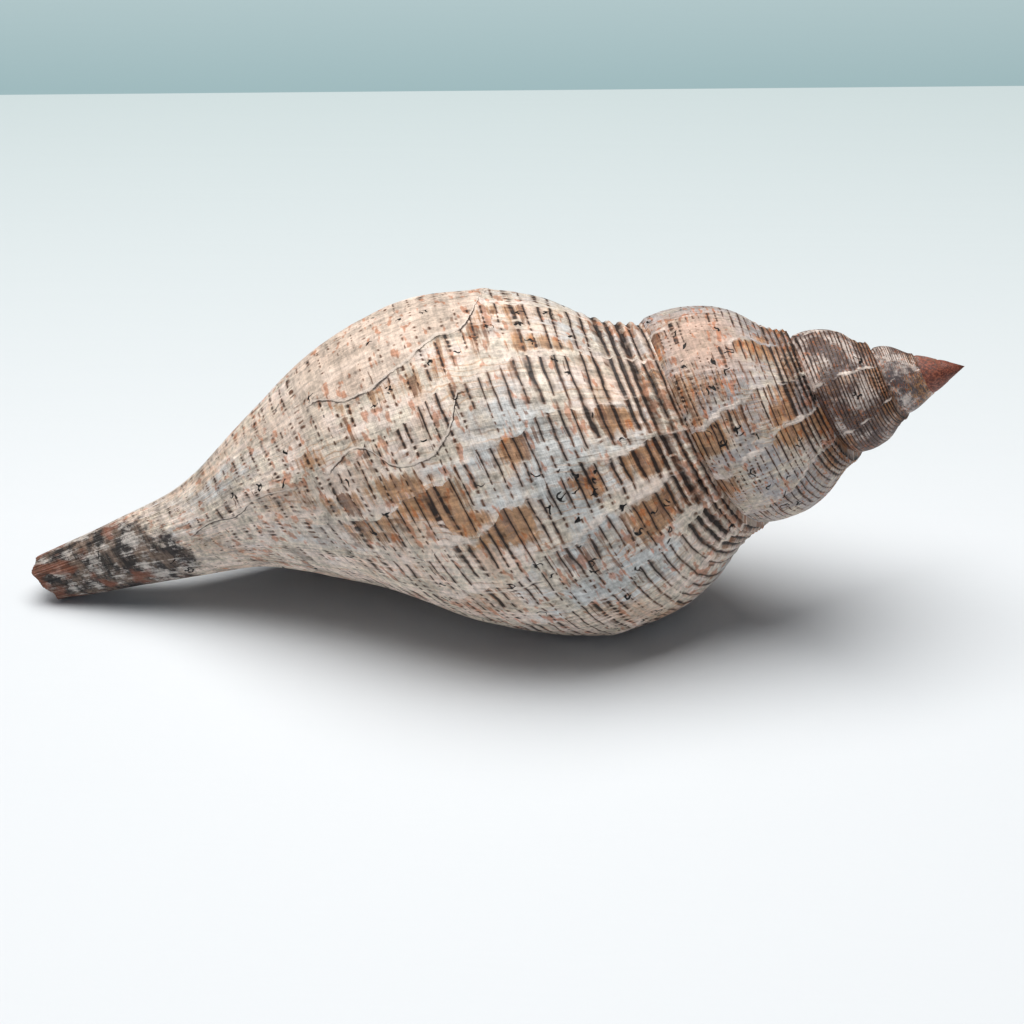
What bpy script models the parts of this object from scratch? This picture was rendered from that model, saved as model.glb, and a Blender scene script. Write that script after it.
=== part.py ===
"""A worn tulip sea shell, lying mouth down.

The shell is one grown piece: a right-handed coil whose last turn runs out into a long open
canal. A place on it is given by its station, which counts the turns back from the outer lip,
and by its reach, which is the distance from the apex along the coil's axis. The axis lies in
the XZ plane and rises towards the apex, at +X. The lip and the mouth are at the back (+Y)
and underneath.
"""
import math

import bmesh
import bpy
import numpy as np

# Driving dimensions, in metres, degrees and turns
SHELL_LENGTH = 0.1487
AXIS_RISE = 13.5
APEX_PLACE = (0.0727, -0.0020, 0.0388)
LIP_ANGLE = 125.2
TURNS = 5.6

# The coil: how far from the apex it is widest at the lip, and how it grows in each turn
SHOULDER_REACH = 0.0858
GROWTH = 1.87
BODY_SLIMNESS = 0.365
SPIRE_SLIMNESS = 0.56
SLIMNESS_TURNS = 1.05
SUTURE_SHARE = 0.646

# A whorl's outline: reach as a share of the shoulder's reach, radius as a share of the shoulder's
WHORL_OUTLINE = (
    (0.60, 0.59), (0.72, 0.68), (0.85, 0.89), (1.00, 1.00), (1.15, 1.01), (1.30, 0.93),
    (1.45, 0.79), (1.60, 0.59), (1.75, 0.425), (1.90, 0.285), (2.10, 0.195), (2.36, 0.115),
)

# The canal hardly winds: past the body its outline comes from this one station
CANAL_STATION = 0.5
CANAL_START = 0.070
CANAL_FULL = 0.138
CANAL_WINDING = 0.12

# The axis is a little bowed: reach against how far its middle stands off the straight line
BOW_OUTLINE = (
    (0.0, 0.0031), (0.045, 0.0), (0.085, -0.0003), (0.098, 0.0010), (0.110, 0.0020),
    (0.120, 0.0008), (0.130, 0.0004), (0.150, -0.0016),
)
TIP_LOBE = 0.0008
TIP_LOBE_START = 0.118
TIP_LOBE_FULL = 0.138
TIP_LOBE_ANGLE = -172.8
TIP_SLANT = 0.0030
TIP_CHIP = 0.0007
BOW_ANGLE = -12.8

# Relief on the outside
SUTURE_GROOVE = 0.00035
CORD_HEIGHT = 0.00055
CORD_SPACING = 0.0028
CORD_ROWS = 3
PUCKER_DEPTH = 0.00030
SCAR_HEIGHT = 0.00050
GROWTH_SCARS = (0.13, 0.27, 0.44, 0.60, 0.74, 0.92, 1.10, 1.33, 1.52, 1.78, 2.05, 2.30)
SCAR_WIDTH = 0.020
SCAR_WAVE = 0.012
BELLY_STATION = 0.80
BELLY_TURNS = 0.22
BELLY_HEIGHT = 0.0009
LEDGE_STATION = 0.30
LEDGE_HEIGHT = 0.0003

# The hollow: the chamber winds in from the mouth, and the canal is a groove open below
WALL = 0.0017
CALLUS = 0.0005
CHAMBER_TURNS = 2.75
CHAMBER_MOUTH = -0.015
CHAMBER_HEAD = 0.0040
CHAMBER_HEAD_MOUTH = 0.0055
CHAMBER_HEAD_TURNS = 0.6
CHAMBER_FOOT_SHARE = 1.74
CHAMBER_FOOT_END = 0.1235
CHAMBER_TAPER_TURNS = 0.5
CANAL_GROOVE_START = 0.106
CANAL_GROOVE_ANGLE = 140.2
CANAL_FLOOR = ((0.106, 0.0070), (0.113, 0.0045), (0.122, 0.0020), (0.135, 0.0002), (0.154, -0.0006))
CANAL_HALF_WIDTH = 0.0015
CANAL_HALF_WIDTH_TIP = 0.0012
CANAL_MOUTH_RADIUS = 0.016

# How finely the surface is divided
COLUMNS_PER_TURN = 48
BAND_ROWS = (14, 12, 8, 6, 4, 3)
FOOT_ROWS = 22
CHAMBER_SECTIONS_PER_TURN = 24
CHAMBER_SIDE_POINTS = 9
GROOVE_SECTIONS = 9
GROOVE_ARC_POINTS = 6


def smooth_curve(points, x):
    """Height at x of the smooth curve through the points, level past both ends."""
    xs, ys = np.array(points).T
    slopes = np.gradient(ys, xs)
    i = np.clip(np.searchsorted(xs, x) - 1, 0, len(xs) - 2)
    step = xs[i + 1] - xs[i]
    t = np.clip((x - xs[i]) / step, 0.0, 1.0)
    s = 1.0 - t
    return (ys[i] * (1 + 2 * t) * s * s + slopes[i] * step * t * s * s
            + ys[i + 1] * t * t * (3 - 2 * t) - slopes[i + 1] * step * t * t * s)


def ease(start, end, x):
    """0 before start, 1 past end, smooth between."""
    t = np.clip((x - start) / (end - start), 0.0, 1.0)
    return t * t * (3.0 - 2.0 * t)


def shoulder_reach(station):
    """Reach at which the whorl is widest at a station."""
    return SHOULDER_REACH * GROWTH ** -station


def shoulder_radius(station):
    """Radius of the whorl at its shoulder at a station."""
    slimness = SPIRE_SLIMNESS - (SPIRE_SLIMNESS - BODY_SLIMNESS) * np.exp(-station / SLIMNESS_TURNS)
    return shoulder_reach(station) * slimness


def angle_of(station):
    """Turning angle of a station in radians: 0 is the top, 90 degrees the back."""
    return math.radians(LIP_ANGLE) - 2.0 * math.pi * station


def plain_radius(station, reach):
    """Radius of the outside at a station and reach, before its relief."""
    winding = 1.0 - (1.0 - CANAL_WINDING) * ease(CANAL_START, CANAL_FULL, reach)
    grown = CANAL_STATION + (station - CANAL_STATION) * winding
    radius = shoulder_radius(grown) * smooth_curve(WHORL_OUTLINE, reach / shoulder_reach(grown))
    lobe = np.clip(np.cos(angle_of(station) - math.radians(TIP_LOBE_ANGLE)), 0.0, 1.0)
    return radius + TIP_LOBE * lobe * ease(TIP_LOBE_START, TIP_LOBE_FULL, reach)


def suture_reach(station):
    """Reach of the upper edge of the whorl at a station, where it meets the turn before."""
    return SUTURE_SHARE * shoulder_reach(station)


def scar_relief(station, reach):
    """Height of the raised growth scars, which cross the whorl from suture to canal."""
    share = reach / shoulder_reach(station)
    wavy = station + SCAR_WAVE * np.sin(7.0 * share + 2.0 * station)
    height = np.zeros_like(reach)
    for scar in GROWTH_SCARS:
        height = height + np.exp(-(((wavy - scar) / SCAR_WIDTH) ** 2)) * SCAR_HEIGHT
    size = shoulder_radius(station) / shoulder_radius(0.0)
    return height * size * (1.0 - 0.7 * ease(1.5, 1.9, share))


def cord_relief(station, reach):
    """Height of the puckered cords that run along just below the suture."""
    size = np.maximum(shoulder_radius(station) / shoulder_radius(0.0), 0.35)
    below = (reach - suture_reach(station)) / (CORD_SPACING * size)
    cords = np.cos(2.0 * math.pi * (below - 0.5)) * CORD_HEIGHT
    pucker = np.cos(math.pi * COLUMNS_PER_TURN * station) * PUCKER_DEPTH
    fade = ease(0.0, 0.4, below) * (1.0 - ease(CORD_ROWS - 1.0, CORD_ROWS + 1.0, below))
    return (cords + pucker) * size * fade


def belly_relief(station, reach):
    """Height of the swelling low on the near side of the last whorl."""
    share = reach / shoulder_reach(station)
    around = np.exp(-(((station - BELLY_STATION) / BELLY_TURNS) ** 2))
    return BELLY_HEIGHT * around * ease(0.7, 0.95, share) * (1.0 - ease(1.35, 1.7, share))


def ledge_relief(station, reach):
    """Height of the smooth patch that ends in a ledge on the upper side of the body."""
    share = reach / shoulder_reach(station)
    past = ease(LEDGE_STATION + 0.05, LEDGE_STATION, station + 0.10 * (share - 1.2))
    return LEDGE_HEIGHT * past * ease(0.95, 1.10, share) * (1.0 - ease(1.7, 1.9, share))


def outer_radius(station, reach):
    """Radius of the finished outside at a station and reach."""
    relief = scar_relief(station, reach) + cord_relief(station, reach)
    relief = relief + belly_relief(station, reach) + ledge_relief(station, reach)
    return plain_radius(station, reach) + relief


def tip_reach(station):
    """Reach of the canal's worn, slanting end at a station."""
    turn = angle_of(station) - math.radians(BOW_ANGLE)
    chips = np.sin(3.0 * turn + 0.6) + 0.6 * np.sin(7.0 * turn + 1.9)
    return SHELL_LENGTH - TIP_SLANT * 0.5 * (1.0 - np.cos(turn)) - TIP_CHIP * (0.8 + 0.5 * chips)


def world_points(reach, turn, radius):
    """World positions of points given by reach, turning angle in radians, and radius."""
    rise = math.radians(AXIS_RISE)
    bow = smooth_curve(BOW_OUTLINE, reach)
    across = radius * np.sin(turn) + bow * math.sin(math.radians(BOW_ANGLE))
    above = radius * np.cos(turn) + bow * math.cos(math.radians(BOW_ANGLE))
    x = APEX_PLACE[0] - reach * math.cos(rise) - above * math.sin(rise)
    z = APEX_PLACE[2] - reach * math.sin(rise) + above * math.cos(rise)
    return np.stack([x, APEX_PLACE[1] + across, z], axis=-1)


def stitch(left, right):
    """Triangles between two rows of vertices, taken in step along both."""
    faces = []
    i, j = 0, 0
    while i < len(left) - 1 or j < len(right) - 1:
        left_next = (i + 1) / (len(left) - 1)
        right_next = (j + 1) / (len(right) - 1)
        if j == len(right) - 1 or (i < len(left) - 1 and left_next <= right_next):
            faces.append((left[i], right[j], left[i + 1]))
            i += 1
        else:
            faces.append((left[i], right[j], right[j + 1]))
            j += 1
    return [face for face in faces if len(set(face)) == 3]


def quads(left, right):
    """Four-sided faces between two rows of the same number of vertices."""
    return [(left[i], right[i], right[i + 1], left[i + 1]) for i in range(len(left) - 1)]


def new_mesh_object(name, collection, points, faces):
    """An object of the given points and faces, with every face turned outwards."""
    mesh = bpy.data.meshes.new(name)
    mesh.from_pydata([tuple(point) for point in points], [], faces)
    work = bmesh.new()
    work.from_mesh(mesh)
    bmesh.ops.recalc_face_normals(work, faces=work.faces)
    bmesh.ops.triangulate(work, faces=work.faces)
    work.to_mesh(mesh)
    work.free()
    made = bpy.data.objects.new(name, mesh)
    collection.objects.link(made)
    return made


class OutsideSurface:
    """The closed outside of the coil, built column by column from the lip to the apex."""

    def __init__(self):
        self.points = []
        self.faces = []
        self.sutures = []
        self.columns = []

    def add(self, reach, station, radius):
        """Adds points at one station and returns their numbers."""
        first = len(self.points)
        turn = np.full_like(reach, angle_of(station))
        self.points.extend(world_points(reach, turn, radius))
        return list(range(first, len(self.points)))

    def add_sutures(self, count):
        """Adds the line of points along the suture, from the lip back to the apex."""
        for index in range(count):
            station = index / COLUMNS_PER_TURN
            reach = np.array([suture_reach(station)])
            groove = SUTURE_GROOVE * np.minimum(1.0, reach / suture_reach(1.0))
            radius = plain_radius(station + 1.0, reach) + scar_relief(station + 1.0, reach) - groove
            self.sutures += self.add(reach, station, radius)

    def band_column(self, index, rows):
        """The points of a spire whorl at a column, from its suture to the next one."""
        station = index / COLUMNS_PER_TURN
        top, bottom = suture_reach(station), suture_reach(station - 1.0)
        reach = np.linspace(top, bottom, rows + 1)[1:-1]
        inner = self.add(reach, station, outer_radius(station, reach))
        return [self.sutures[index]] + inner + [self.sutures[index - COLUMNS_PER_TURN]]

    def foot_column(self, index, head_end):
        """The points of the last whorl below its upper band, down to the canal's end."""
        station = index / COLUMNS_PER_TURN
        share = np.linspace(0.0, 1.0, FOOT_ROWS + 1)[1:]
        reach = head_end + (tip_reach(station) - head_end) * share
        return self.add(reach, station, outer_radius(station, reach))

    def body_column(self, index):
        """The points of the last whorl at a column, from its suture to the canal's end."""
        station = index / COLUMNS_PER_TURN
        top, head_end = suture_reach(station), suture_reach(station - 1.0)
        reach = np.linspace(top, head_end, BAND_ROWS[0] + 1)[1:]
        if index == COLUMNS_PER_TURN:
            band = self.add(reach[:-1], station, outer_radius(station, reach[:-1])) + [self.sutures[0]]
        else:
            band = self.add(reach, station, outer_radius(station, reach))
        return [self.sutures[index]] + band + self.foot_column(index, head_end)

    def build(self):
        """Builds all points and faces."""
        last = round(TURNS * COLUMNS_PER_TURN)
        self.add_sutures(last + 1)
        body = [self.body_column(index) for index in range(COLUMNS_PER_TURN + 1)]
        for newer, older in zip(body[:-1], body[1:]):
            self.faces += quads(newer, older)
        lip_inside = body[-1][BAND_ROWS[0]:]
        self.faces += stitch(body[0], lip_inside)
        self.close_tip([column[-1] for column in body])
        self.build_spire(body[-1][:BAND_ROWS[0] + 1], last)

    def build_spire(self, newer, last):
        """Builds the whorls above the last one, and closes the apex."""
        for index in range(COLUMNS_PER_TURN + 1, last + 1):
            rows = BAND_ROWS[min((index - 1) // COLUMNS_PER_TURN, len(BAND_ROWS) - 1)]
            older = self.band_column(index, rows)
            self.faces += quads(newer, older) if len(newer) == len(older) else stitch(newer, older)
            newer = older
        apex = self.add(np.array([0.0]), 0.0, np.array([0.0]))[0]
        rim = self.sutures[last - COLUMNS_PER_TURN:last + 1] + newer[1:]
        self.faces += [(apex, a, b) for a, b in zip(rim, rim[1:])]

    def close_tip(self, rim):
        """Closes the canal's end with a fan from a point a little off the axis."""
        middle = self.add(np.array([SHELL_LENGTH - TIP_SLANT]), 0.4, np.array([CANAL_HALF_WIDTH]))[0]
        self.faces += [(middle, a, b) for a, b in zip(rim, rim[1:] + rim[:1])]


def chamber_section(station):
    """One closed outline of the hollow at a station: reaches and radii."""
    size = shoulder_radius(station) / shoulder_radius(0.0)
    below_suture = CHAMBER_HEAD + CHAMBER_HEAD_MOUTH * ease(CHAMBER_HEAD_TURNS, 0.0, station)
    head = suture_reach(station) + below_suture * size
    foot = min(CHAMBER_FOOT_SHARE * shoulder_reach(station), CHAMBER_FOOT_END)
    share = 0.5 - 0.5 * np.cos(np.linspace(0.0, math.pi, CHAMBER_SIDE_POINTS))
    reach = head + (foot - head) * share
    wall = WALL * (0.55 + 0.45 * size)
    outside = plain_radius(station, reach) - wall
    inside = plain_radius(station + 1.0, reach) + CALLUS
    middle = 0.5 * (outside + inside)
    fullness = np.sqrt(1.0 - np.abs(2.0 * share - 1.0) ** 3)
    closing = 1.0 - 0.85 * ease(CHAMBER_TURNS - CHAMBER_TAPER_TURNS, CHAMBER_TURNS, station)
    half = np.maximum(0.5 * (outside - inside), 0.0) * fullness * closing
    out_side = middle + half
    in_side = middle - half
    return np.concatenate([reach, reach[-2:0:-1]]), np.concatenate([out_side, in_side[-2:0:-1]])


def loft(name, collection, rings):
    """A closed solid through rings of points, with flat ends."""
    count = len(rings[0])
    points = [point for ring in rings for point in ring]
    faces = [tuple(range(count)), tuple(range(len(points) - count, len(points)))[::-1]]
    for ring in range(len(rings) - 1):
        for i in range(count):
            j = (i + 1) % count
            low, high = ring * count, (ring + 1) * count
            faces.append((low + i, low + j, high + j, high + i))
    return new_mesh_object(name, collection, points, faces)


def build_chamber(collection):
    """The cutter that winds in from the mouth."""
    steps = round((CHAMBER_TURNS - CHAMBER_MOUTH) * CHAMBER_SECTIONS_PER_TURN)
    rings = []
    for station in np.linspace(CHAMBER_MOUTH, CHAMBER_TURNS, steps + 1):
        reach, radius = chamber_section(station)
        rings.append(world_points(reach, np.full_like(reach, angle_of(station)), radius))
    return loft("chamber_cutter", collection, rings)


def build_groove(collection):
    """The cutter for the canal: a round floor with an open slot out to one side."""
    direction = math.radians(CANAL_GROOVE_ANGLE)
    rings = []
    for reach in np.linspace(CANAL_GROOVE_START, SHELL_LENGTH + 0.004, GROOVE_SECTIONS):
        share = (reach - CANAL_GROOVE_START) / (SHELL_LENGTH - CANAL_GROOVE_START)
        width = CANAL_HALF_WIDTH + (CANAL_HALF_WIDTH_TIP - CANAL_HALF_WIDTH) * min(share, 1.0)
        middle = smooth_curve(CANAL_FLOOR, reach) + width
        arc = np.linspace(0.5 * math.pi, 1.5 * math.pi, GROOVE_ARC_POINTS)
        along = np.concatenate([middle + width * np.cos(arc), [CANAL_MOUTH_RADIUS] * 2])
        aside = np.concatenate([width * np.sin(arc), [-width, width]])
        turn = direction + np.arctan2(aside, along)
        rings.append(world_points(np.full_like(along, reach), turn, np.hypot(along, aside)))
    return loft("canal_cutter", collection, rings)


def shell_material():
    """Worn, unpolished shell: cream with tan, a little gloss left."""
    material = bpy.data.materials.new("worn_shell")
    material.use_nodes = True
    surface = material.node_tree.nodes["Principled BSDF"]
    surface.inputs["Base Color"].default_value = (0.62, 0.50, 0.40, 1.0)
    surface.inputs["Roughness"].default_value = 0.45
    surface.inputs["Metallic"].default_value = 0.0
    return material


def cut(target, cutter):
    """Takes the cutter's space out of the target."""
    cutter.hide_render = True
    cutter.display_type = 'WIRE'
    difference = target.modifiers.new(cutter.name, 'BOOLEAN')
    difference.operation = 'DIFFERENCE'
    difference.solver = 'EXACT'
    difference.object = cutter


def new_collection(name):
    """A collection of that name in the scene."""
    collection = bpy.data.collections.new(name)
    bpy.context.scene.collection.children.link(collection)
    return collection


def main():
    """Builds the shell and the cutters that hollow it."""
    for old in list(bpy.data.objects):
        bpy.data.objects.remove(old, do_unlink=True)
    parts = new_collection("tulip_shell")
    cutters = new_collection("cutters")
    outside = OutsideSurface()
    outside.build()
    shell = new_mesh_object("shell", parts, outside.points, outside.faces)
    shell.data.materials.append(shell_material())
    shell.data.shade_smooth()
    cut(shell, build_chamber(cutters))
    cut(shell, build_groove(cutters))


main()
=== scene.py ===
"""The looks of a worn tulip shell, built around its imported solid.

A place on the shell is given by its station, which counts the turns back from the outer lip, by
its reach, which is the distance from the apex along the coil's axis, and by its share, which is
the reach as a share of the whorl's widest reach at that station. The spiral lines of the shell
follow a constant share, and its growth lines follow a constant station.
"""
import logging
import math
from dataclasses import dataclass, field
from enum import Enum
from typing import Any

import bpy
import numpy as np
from mathutils import Matrix, Vector


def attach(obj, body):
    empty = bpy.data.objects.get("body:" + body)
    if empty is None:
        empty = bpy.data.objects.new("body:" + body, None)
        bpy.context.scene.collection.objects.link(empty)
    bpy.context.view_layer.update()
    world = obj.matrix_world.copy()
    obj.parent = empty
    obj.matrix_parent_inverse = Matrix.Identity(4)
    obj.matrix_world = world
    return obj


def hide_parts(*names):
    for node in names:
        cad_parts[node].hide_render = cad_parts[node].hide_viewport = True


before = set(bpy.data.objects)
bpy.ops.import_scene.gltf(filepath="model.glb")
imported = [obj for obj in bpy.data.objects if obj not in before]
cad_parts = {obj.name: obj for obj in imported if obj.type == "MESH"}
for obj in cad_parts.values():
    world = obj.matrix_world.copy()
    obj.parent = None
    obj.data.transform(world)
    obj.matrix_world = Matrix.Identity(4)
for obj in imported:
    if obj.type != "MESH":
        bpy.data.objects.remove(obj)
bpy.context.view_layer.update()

MILLIMETRE = 0.001
TAU = 2.0 * math.pi

Curve = tuple[tuple[float, float], ...]


def linear_colour(code: str) -> tuple[float, float, float, float]:
    """Turns an sRGB hex colour into linear light.

    Args:
        code: Six hex digits after a hash sign.

    Returns:
        Red, green, blue and an alpha of one.
    """
    channels = [int(code[i:i + 2], 16) / 255.0 for i in (1, 3, 5)]
    light = [c / 12.92 if c <= 0.04045 else ((c + 0.055) / 1.055) ** 2.4 for c in channels]
    return (light[0], light[1], light[2], 1.0)


def smooth_curve(points: Curve, x: np.ndarray) -> np.ndarray:
    """Height at x of the smooth curve through the points, level past both ends.

    Args:
        points: Places and heights along the curve.
        x: Where its height is wanted.

    Returns:
        The heights, in the shape of x.
    """
    xs, ys = np.array(points).T
    slopes = np.gradient(ys, xs)
    i = np.clip(np.searchsorted(xs, x) - 1, 0, len(xs) - 2)
    step = xs[i + 1] - xs[i]
    t = np.clip((x - xs[i]) / step, 0.0, 1.0)
    s = 1.0 - t
    return (ys[i] * (1 + 2 * t) * s * s + slopes[i] * step * t * s * s
            + ys[i + 1] * t * t * (3 - 2 * t) - slopes[i + 1] * step * t * t * s)


def ease(start: float, end: float, x: np.ndarray) -> np.ndarray:
    """0 before start, 1 past end, smooth between; end may also be less than start."""
    t = np.clip((x - start) / (end - start), 0.0, 1.0)
    return t * t * (3.0 - 2.0 * t)


def deselect_all() -> None:
    """Leaves edit mode if it is on, and selects nothing."""
    if bpy.context.object and bpy.context.object.mode != 'OBJECT':
        bpy.ops.object.mode_set(mode='OBJECT')
    bpy.ops.object.select_all(action='DESELECT')


def activate(piece: bpy.types.Object) -> None:
    """Selects one object alone and makes it the active one.

    Args:
        piece: The object.
    """
    deselect_all()
    piece.select_set(True)
    bpy.context.view_layer.objects.active = piece


@dataclass(frozen=True)
class Coil:
    """The shell's form, with the sizes of the solid it dresses, in metres, degrees and turns."""
    # How it lies, and how many turns it has
    length: float = 0.1487
    axis_rise: float = 13.5
    apex: tuple[float, float, float] = (0.0727, -0.0020, 0.0388)
    lip_angle: float = 125.2
    turns: float = 5.6
    # Its widest reach at the lip, how much each turn outgrows the one before, and how slim it is
    shoulder: float = 0.0858
    growth: float = 1.87
    body_slimness: float = 0.365
    spire_slimness: float = 0.56
    slimness_turns: float = 1.05
    suture_share: float = 0.646
    outline: Curve = (
        (0.60, 0.59), (0.72, 0.68), (0.85, 0.89), (1.00, 1.00), (1.15, 1.01), (1.30, 0.93),
        (1.45, 0.79), (1.60, 0.59), (1.75, 0.425), (1.90, 0.285), (2.10, 0.195), (2.36, 0.115),
    )
    # Past the body the outline stops winding and draws out into the canal
    canal_station: float = 0.5
    canal_start: float = 0.070
    canal_full: float = 0.138
    canal_winding: float = 0.12
    # The axis is a little bowed, and the canal's tip is lobed, slanting and chipped
    bow: Curve = (
        (0.0, 0.0031), (0.045, 0.0), (0.085, -0.0003), (0.098, 0.0010), (0.110, 0.0020),
        (0.120, 0.0008), (0.130, 0.0004), (0.150, -0.0016),
    )
    bow_angle: float = -12.8
    tip_lobe: float = 0.0008
    tip_lobe_start: float = 0.118
    tip_lobe_full: float = 0.138
    tip_lobe_angle: float = -172.8
    tip_slant: float = 0.0030
    tip_chip: float = 0.0007
    tip_wear: float = 0.8
    tip_chips: tuple[tuple[float, float, float], ...] = ((3.0, 1.0, 0.6), (7.0, 0.6, 1.9))
    # The first whorls are worn down to a blunt cone with shallow steps
    point_slope: float = 0.475
    point_blunt: float = 0.0012
    point_end: float = 0.0055
    point_start: float = 0.0135
    point_share: float = 0.82

    def shoulder_reach(self, station: np.ndarray) -> np.ndarray:
        """Reach at which the whorl is widest at a station."""
        return self.shoulder * self.growth ** -station

    def shoulder_radius(self, station: np.ndarray) -> np.ndarray:
        """Radius of the whorl at its shoulder at a station."""
        fall = (self.spire_slimness - self.body_slimness) * np.exp(-station / self.slimness_turns)
        return self.shoulder_reach(station) * (self.spire_slimness - fall)

    def size(self, station: np.ndarray) -> np.ndarray:
        """Size of the whorl at a station, as a share of its size at the lip."""
        return self.shoulder_radius(station) / self.shoulder_radius(np.zeros(1))

    def suture_reach(self, station: np.ndarray) -> np.ndarray:
        """Reach of the seam where the whorl at a station meets the turn before."""
        return self.suture_share * self.shoulder_reach(station)

    def angle(self, station: np.ndarray) -> np.ndarray:
        """Turning angle of a station in radians: 0 is the top, 90 degrees the back."""
        return math.radians(self.lip_angle) - TAU * station

    def grown(self, station: np.ndarray, reach: np.ndarray) -> np.ndarray:
        """Station whose outline holds at a place: the canal hardly winds."""
        winding = 1.0 - (1.0 - self.canal_winding) * ease(self.canal_start, self.canal_full, reach)
        return self.canal_station + (station - self.canal_station) * winding

    def plain_radius(self, station: np.ndarray, reach: np.ndarray) -> np.ndarray:
        """Radius of the outside before its relief.

        Args:
            station: Turns back from the lip.
            reach: Distance from the apex along the axis.

        Returns:
            The radii.
        """
        grown = self.grown(station, reach)
        share = reach / self.shoulder_reach(grown)
        radius = self.shoulder_radius(grown) * smooth_curve(self.outline, share)
        near_apex = self.point_share * ease(self.point_start, self.point_end, reach)
        blunt = self.point_slope * np.sqrt(np.maximum(reach * (reach + self.point_blunt), 0.0))
        radius = radius + (blunt - radius) * near_apex
        lobe = np.clip(np.cos(self.angle(station) - math.radians(self.tip_lobe_angle)), 0.0, 1.0)
        return radius + self.tip_lobe * lobe * ease(self.tip_lobe_start, self.tip_lobe_full, reach)

    def tip_reach(self, station: np.ndarray) -> np.ndarray:
        """Reach of the canal's worn, slanting end at a station.

        Args:
            station: Turns back from the lip.

        Returns:
            The reaches.
        """
        turn = self.angle(station) - math.radians(self.bow_angle)
        chips = sum(deep * np.sin(waves * turn + start) for waves, deep, start in self.tip_chips)
        slant = self.tip_slant * 0.5 * (1.0 - np.cos(turn))
        return self.length - slant - self.tip_chip * (self.tip_wear + 0.5 * chips)

    def world(self, reach: np.ndarray, turn: np.ndarray, radius: np.ndarray) -> np.ndarray:
        """World positions of points on the coil.

        Args:
            reach: Distance from the apex along the axis.
            turn: Turning angle in radians.
            radius: Distance from the axis.

        Returns:
            An array of positions, three numbers to a point.
        """
        rise = math.radians(self.axis_rise)
        bow = smooth_curve(self.bow, reach)
        across = radius * np.sin(turn) + bow * math.sin(math.radians(self.bow_angle))
        above = radius * np.cos(turn) + bow * math.cos(math.radians(self.bow_angle))
        x = self.apex[0] - reach * math.cos(rise) - above * math.sin(rise)
        z = self.apex[2] - reach * math.sin(rise) + above * math.cos(rise)
        return np.stack([x, self.apex[1] + across, z], axis=-1)

    def place(self, points: np.ndarray) -> tuple[np.ndarray, np.ndarray, np.ndarray]:
        """Reach, part of a turn back from the lip, and radius of world positions.

        Args:
            points: World positions, three numbers to a point.

        Returns:
            The reaches, the parts of a turn from 0 to 1, and the radii.
        """
        rise = math.radians(self.axis_rise)
        x, y, z = (points - np.array(self.apex)).T
        reach = -(x * math.cos(rise) + z * math.sin(rise))
        bow = smooth_curve(self.bow, reach)
        across = y - bow * math.sin(math.radians(self.bow_angle))
        above = z * math.cos(rise) - x * math.sin(rise) - bow * math.cos(math.radians(self.bow_angle))
        part = (math.radians(self.lip_angle) - np.arctan2(across, above)) / TAU
        return reach, part % 1.0, np.hypot(across, above)


@dataclass(frozen=True)
class Ledge:
    """An edge where one layer of the shell ends: station of the edge against share."""
    line: Curve
    height: float
    fade: float = 0.03
    arc_share: float = 0.95
    rise: tuple[float, float] = (0.0004, -0.0002)
    slope: tuple[float, float] = (-0.016, -0.001)

    def gap(self, coil: Coil, station: np.ndarray, share: np.ndarray) -> np.ndarray:
        """Distance past the edge, positive towards the apex side, in metres along the whorl."""
        arc = TAU * self.arc_share * coil.shoulder_radius(station)
        return (station - smooth_curve(self.line, share)) * arc

    def window(self, share: np.ndarray) -> np.ndarray:
        """1 along the edge, fading to 0 past its two ends."""
        first, last = self.line[0][0], self.line[-1][0]
        return ease(first - self.fade, first, share) * ease(last + self.fade, last, share)

    def step(self, coil: Coil, station: np.ndarray, share: np.ndarray) -> np.ndarray:
        """Height of the layer: it rises slowly towards its edge and ends there."""
        gap = self.gap(coil, station, share)
        return self.height * ease(*self.rise, gap) * ease(*self.slope, gap) * self.window(share)


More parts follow.
